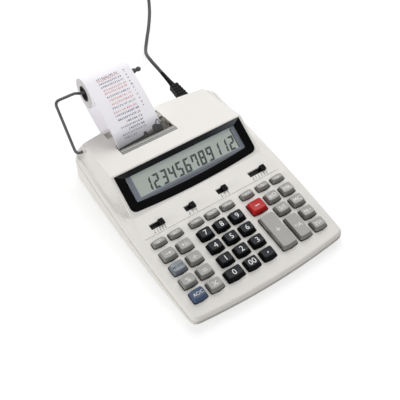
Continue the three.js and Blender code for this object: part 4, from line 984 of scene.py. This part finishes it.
def tape_lines():
    """The stretch from the platen over the roll, and the one from the roll to the platen."""
    along_y, along_z = ROLL_Y - PLATEN_Y, ROLL_Z - PLATEN_Z
    reach = math.hypot(along_y, along_z)
    slope = math.atan2(along_z, along_y) + math.asin((TAPE_R - WRAP_R) / reach)
    leave, meet = slope + LEAVE_ARCH, slope - MEET_ARCH
    over_platen = arc_points(PLATEN_Y, PLATEN_Z, WRAP_R, 3 * QUARTER, QUARTER + leave, 24)
    over_roll = arc_points(ROLL_Y, ROLL_Z, TAPE_R, QUARTER + meet, -QUARTER / 3, 48)
    a, b = over_platen[-1], over_roll[0]
    run = (b.y - a.y) * math.sin(meet) - (b.z - a.z) * math.cos(meet)
    bend = run / math.sin(meet - leave)
    corner = a + Vector((0, *on_circle(0, 0, bend, leave)))
    free = bend_points(a, corner, b, 36)
    drop_y, drop_z = ROLL_Y - REAR_Y, ROLL_Z - FEED_SLOT_Z
    climb = math.atan2(drop_z, drop_y) - math.asin(TAPE_R / math.hypot(drop_y, drop_z))
    leave_roll = arc_points(ROLL_Y, ROLL_Z, TAPE_R, climb - QUARTER / 3, climb - QUARTER, 12)
    slot = Vector((0, REAR_Y, FEED_SLOT_Z))
    slot_run = REAR_Y - REAR_CORNER_Y + OVERRUN
    before = slot + Vector((0, *on_circle(0, 0, slot_run, climb)))
    low = over_platen[0]
    after = slot.lerp(low, slot_run / (REAR_Y - low.y))
    straight = [leave_roll[-1].lerp(before, k / 12) for k in range(1, 12)]
    feed_in = bend_points(before, slot, after, 16)
    return [*free, *over_roll[1:]], [*leave_roll, *straight, *feed_in, *over_platen]


def crown(along, share):
    """How far the free stretch of the tape bulges across its width."""
    return BULGE * (1 - (2 * share - 1) ** 2) * math.sin(math.pi * min(along / FREE_LENGTH, 1))


def ribbon(line, width_steps, lift=lambda along, share: 0):
    """A ribbon of paper along a line in the y-z plane, as wide as the roll."""
    rings = []
    for i, (point, spot) in enumerate(zip(line, distances(line))):
        along = heading(line, i)
        normal = Vector((0, -along.z, along.y))
        shares = [k / width_steps for k in range(width_steps + 1)]
        sheet = [point + Vector((PAPER_LEFT + PAPER_WIDTH * share, 0, 0))
                 + normal * lift(spot, share) for share in shares]
        half = normal * SHEET / 2
        rings.append([p + half for p in sheet] + [p - half for p in reversed(sheet)])
    return rings_mesh(rings)


# Rows of print: distance along the tape, ink, left and right end
PRINT_ROWS = [
    (85, "grey", -40.5, -14.2), (82.6, "red", -40.6, -13.4), (79, "blue", -40.3, -12),
    (74.8, "blue", -40.1, -11.7), (70.2, "red", -39.4, -10.5), (66.6, "red", -40.2, -11.5),
    (61.8, "blue", -40, -11), (57.4, "red", -39, -11.5), (52.7, "red", -39, -11),
    (47.9, "blue", -40.5, -21.4), (47.9, "green", -20.4, -10.9), (42.9, "red", -41.5, -26.4),
    (42.9, "pink", -25.6, -12.3), (38.8, "blue", -41.2, -11.8), (34, "blue", -41, -12.4),
    (29.4, "grey", -32.4, -12.6), (25.1, "blue", -42, -13.2), (21.1, "blue", -33.7, -13.9),
    (17.2, "faint", -43.4, -13.4), (13.3, "faint", -42.4, -27.6),
]
SIGNS = "+-*=+%+-++=+"
SIGN_PLACES = (84.6, 81.8, 78.1, 74.0, 69.8, 65.6, 61.2, 57.2, 52.6, 47.7, 42.9, 38.7)
SIGN_COLUMN, PRINT_LIFT = -6.0, SHEET / 2 + 0.035
PRINT_SIZE, PRINT_PITCH, SIGN_SIZE = 3.3, 2.1, 3.6


def printed_rows(line):
    """The rows of numbers on the tape, as meshes for each ink."""
    digits = random.Random(31)
    inks = {name: [] for name in INKS}

    def lay(flat, ink, x, along):
        """Sets flat lettering on the tape."""
        flat.transform(Matrix.Translation((x, along, 0)))
        for v in flat.vertices:
            point, ahead = line_place(line, v.co.y)
            lift = crown(v.co.y, (v.co.x - PAPER_LEFT) / PAPER_WIDTH) + PRINT_LIFT
            v.co = Vector((v.co.x, 0, 0)) + point + Vector((0, -ahead.z, ahead.y)) * lift
        inks[ink].append(flat)

    for along, ink, x0, x1 in PRINT_ROWS:
        count = max(4, round((x1 - x0) / PRINT_PITCH))
        drawn = "".join(digits.choice("0123456789") for _ in range(count - 1))
        words = drawn[:-2] + "." + drawn[-2:]
        row = text_mesh(words, PRINT_SIZE, 1, 0.06)
        xs = [v.co.x for v in row.vertices]
        row.transform(Matrix.Scale((x1 - x0) / (max(xs) - min(xs)), 4, (1, 0, 0)))
        lay(row, ink, (x0 + x1) / 2, along)
    for sign, along in zip(SIGNS, SIGN_PLACES):
        lay(text_mesh(sign, SIGN_SIZE, 1, 0.12), "grey", SIGN_COLUMN, along)
    return inks


def make_paper():
    out_line, feed_line = tape_lines()
    bend, feed_bend = ([tuple(DECK @ Vector((0, y, z))) for y, z in ends]
                       for ends in (((134, 15.5), (190, 47.5)), ((175, 1), (192, 18))))
    fit("printed_tape", ribbon(out_line, 12, crown), [GLOWING_PAPER], "paper", node="paper_tape", angle=50,
        bend=bend)
    fit("feed_tape", ribbon(feed_line, 6), [GLOWING_PAPER], "paper", node="paper_tape", angle=50,
        bend=feed_bend)
    for ink, meshes in printed_rows(out_line).items():
        fit("print_" + ink, merged(meshes), [INKS[ink]], "paper", bend=bend)


def make_roll():
    half, core_in, core_out, side_facing = PAPER_WIDTH / 2, 8, 9.3, 0.8
    for name, mats, sides, edge in (
            ("paper_winding", [GLOWING_PAPER, roll_side_material()], 96,
             [(core_out, half), (ROLL_R - 0.4, half), (ROLL_R - 0.1, half - 0.15),
              (ROLL_R, half - 0.5)]),
            ("paper_core", [CORE], 64,
             [(core_in, half + 0.6), (core_out - 0.15, half + 0.6), (core_out, half + 0.45)])):
        profile = [(r, -x) for r, x in edge] + edge[::-1]
        piece = fit(name, lathe_x(profile, PAPER_LEFT + half, ROLL_Y, ROLL_Z, sides), mats,
                    "paper", "roll", "paper_roll", angle=30)
        if len(mats) > 1:
            paint(piece, lambda face: abs(face.normal.x) > side_facing)


make_paper()
make_roll()


# The wire arm that carries the roll

WIRE_R, TIP_X, TIP_R = 1.65, 15, 3.2
ARM_REACH, ARM_ANGLE = 8 - WIRE_R - GAP, math.radians(115)
ARM_Y, ARM_Z = on_circle(ROLL_Y, ROLL_Z, ARM_REACH, ARM_ANGLE)
PIVOT_Y, PIVOT_Z, ARM_STEP = 153, 4.5, 4.2


def rounded_path(corners, bends, steps=10):
    corners = [Vector(c) for c in corners]
    line = [corners[0]]
    for i in range(1, len(corners) - 1):
        into = (corners[i] - corners[i - 1]).normalized() * bends[i - 1]
        out = (corners[i + 1] - corners[i]).normalized() * bends[i - 1]
        line += bend_points(corners[i] - into, corners[i], corners[i] + out, steps)
    return [*line, corners[-1]]


def make_arm():
    path = rounded_path([(-74, PIVOT_Y, PIVOT_Z), (-93.5, PIVOT_Y, PIVOT_Z),
                         (-90.5, ARM_Y, ARM_Z + ARM_STEP), (-66, ARM_Y, ARM_Z + ARM_STEP),
                         (-59, ARM_Y, ARM_Z), (TIP_X - TIP_R, ARM_Y, ARM_Z)], [6, 6, 3, 3])
    fit("arm_wire", tube_mesh(path, WIRE_R, 20), [WIRE], "dark_wire", "arm", "paper_arm", angle=50)
    # two knobs, the outer one smaller, with a waist between them
    inner_x, long, short, steps = TIP_X - 2 * TIP_R, 1.1 * TIP_R, 1.1 * TIP_R * 0.9, 40
    profile = []
    for i in range(steps + 1):
        x = inner_x - long + (TIP_X + short - inner_x + long) * i / steps
        first = max(1 - ((x - inner_x) / long) ** 2, 0)
        second = max(1 - ((x - TIP_X) / short) ** 2, 0)
        waist = TIP_R * 0.7 if inner_x <= x <= TIP_X else 0.001
        radius = max(TIP_R * math.sqrt(first), TIP_R * 0.9 * math.sqrt(second), waist)
        profile.append((radius, x))
    fit("arm_tip", lathe_x(profile, 0, ARM_Y, ARM_Z, 28), [TIP], "dark_wire", "arm", "paper_arm",
        angle=50, weld=True)


make_arm()


# What shows in the printer opening

FOOT, PLATE_TOP, GUARD_Y, RAIL_Y = 12.6, 26.4, 126, 121.5


def hump_top(y):
    return RIDGE_Z - (y - RIDGE_Y) * HUMP_FALL


def make_mechanism():
    def part(name, mesh, mat, slot="dark_plastic", edge=0.15):
        fit(name, mesh, [mat], slot, angle=35, edge=edge)

    def wire(name, line, radius, mat):
        fit(name, tube_mesh(line, radius, 10), [mat], "grey_metal", angle=60)

    def tape_y(z):
        """Where the tape stands at a height, on its way up from the platen."""
        for a, b in zip(out_line, out_line[1:]):
            if a.z <= z <= b.z:
                return a.y + (b.y - a.y) * (z - a.z) / (b.z - a.z)
        return out_line[0].y

    out_line, _ = tape_lines()
    part("idle_gear", gear_mesh(10.6, 13.4, 141, 6.6, 5.2, 1.0, 16), MECH_LIGHT, "grey_metal")
    part("idle_gear_hub", gear_mesh(9.6, 14.4, 141, 6.6, 2.4, 0.3, 9), BAR, "grey_metal")
    wire("drive_spring", [(4.6 + 4.2 * k / 120, *on_circle(142.6, 6.8, 4.4, k * 0.26))
                          for k in range(121)], 0.42, STEEL)
    lever = [(128, 2), (133, 11.5), (138, 12.2), (141, 11), (139.5, 8), (135, 2)]
    part("release_lever", prism_x([(13.9, lever), (14.9, lever)]), MECH_LIGHT, "grey_metal")
    # the guard in front of the tape, higher towards the drive, and the block on it
    sections = []
    for x, rise in ((-54, -0.6), (-38, 0.2), (-21, 1.0), (-20, 3.2), (-17, 3.4), (-16.2, 1.6),
                    (-9, 2.2), (-8, 4.6), (-5, 5.6), (-1, 4.4), (1.6, 3.6), (3.6, 3.4)):
        top = hump_top(GUARD_Y) + rise
        sections.append((x, [(GUARD_Y, FOOT), (GUARD_Y + 0.5, FOOT), (tape_y(top) - 0.6, top),
                             (tape_y(top) - 1.2, top), (GUARD_Y, FOOT + 0.8)]))
    part("carriage_guard", prism_x(sections), MECH, edge=0.1)
    blocks = []
    for x0, x1, top in ((-16.0, -12.6, 17.4), (-12.3, -9.2, 17.9)):
        outline = [(tape_y(FOOT) - 1.6, FOOT), (tape_y(FOOT) - 1.3, FOOT),
                   (tape_y(top) - 1.3, top), (tape_y(top) - 1.9, top)]
        blocks.append(prism_x([(x0, outline), (x1, outline)]))
    part("carriage_block", merged(blocks), LUG, edge=0.1)
    loop = [(-3.3, FOOT), (-3.2, 17), (-2.7, 20.2), (-1.0, 22.4), (0.8, 22.7), (2.0, 20.9),
            (2.3, 17.5), (2.3, FOOT)]
    wire("guide_loop", through([(x, tape_y(z) - 1.7, z) for x, z in loop], 5), 0.5, LOOP)
    # a clear plate over the foot of the tape, tinted darkest at its own foot as painted shade
    outline = [(tape_y(z) - back, z) for back, z in ((2.9, FOOT + 1), (2.4, FOOT + 1),
                                                     (2.4, PLATE_TOP), (2.9, PLATE_TOP))]
    shade_tints = [(0, (0.7, 0.7, 0.7, 1)), (0.3, (0.82, 0.825, 0.83, 1)), (0.7, (0.94, 0.945, 0.95, 1)),
             (1, (0.975, 0.98, 0.985, 1))]
    line = [DECK @ Vector((0, tape_y(z), z)) for z in (FOOT + 1, PLATE_TOP)]
    fit("paper_plate", prism_x([(-53.8, outline), (3.4, outline)]),
        [pane_material("painted_shade_plate", *line, shade_tints)], "black_gloss", angle=30)
    # the chute that leads the paper out of the case, below the tape
    chute = [(137, 9.6), (137, 10.4), (161.6, 4.6), (161.6, 3.8)]
    part("paper_chute", prism_x([(-54.6, chute), (3.4, chute)]), CASE_LOW, "case_white", 0.2)
    # stepped lugs at the rear corners of the opening
    for name, x0, x1, front in (("lug_left", -54.8, -47.6, 152.5), ("lug_right", 11.4, 15.4, 149.4)):
        steps = []
        for i in range(3):
            y, back = front + i * 3.1, front + i * 3.1 + 2.7
            steps.append(box_mesh((x0, y, hump_top(y) - 5),
                                  (x1, back, hump_top(back) - 0.25 - 0.3 * (i % 2))))
        part(name, merged(steps), LUG)
    # plates beside and above the platen's drive
    slats = [box_mesh((9.9 + i * 0.95, 126.4, 2), (10.4 + i * 0.95, 135.2, 12 - i % 2))
             for i in range(4)]
    slats += [box_mesh((4.4 + i * 1.3, 127.4, 12.3), (5.1 + i * 1.3, 136.6, 12.8 - i % 2 * 0.3))
              for i in range(4)]
    part("drive_plates", merged(slats), PLATES, edge=0.1)
    top = hump_top(RAIL_Y)
    part("tear_bar_rail", box_mesh((-54.0, RAIL_Y, top - 0.4), (14.6, RAIL_Y + 0.7, top + 0.4)),
         RAIL, "grey_metal", 0.12)


make_mechanism()
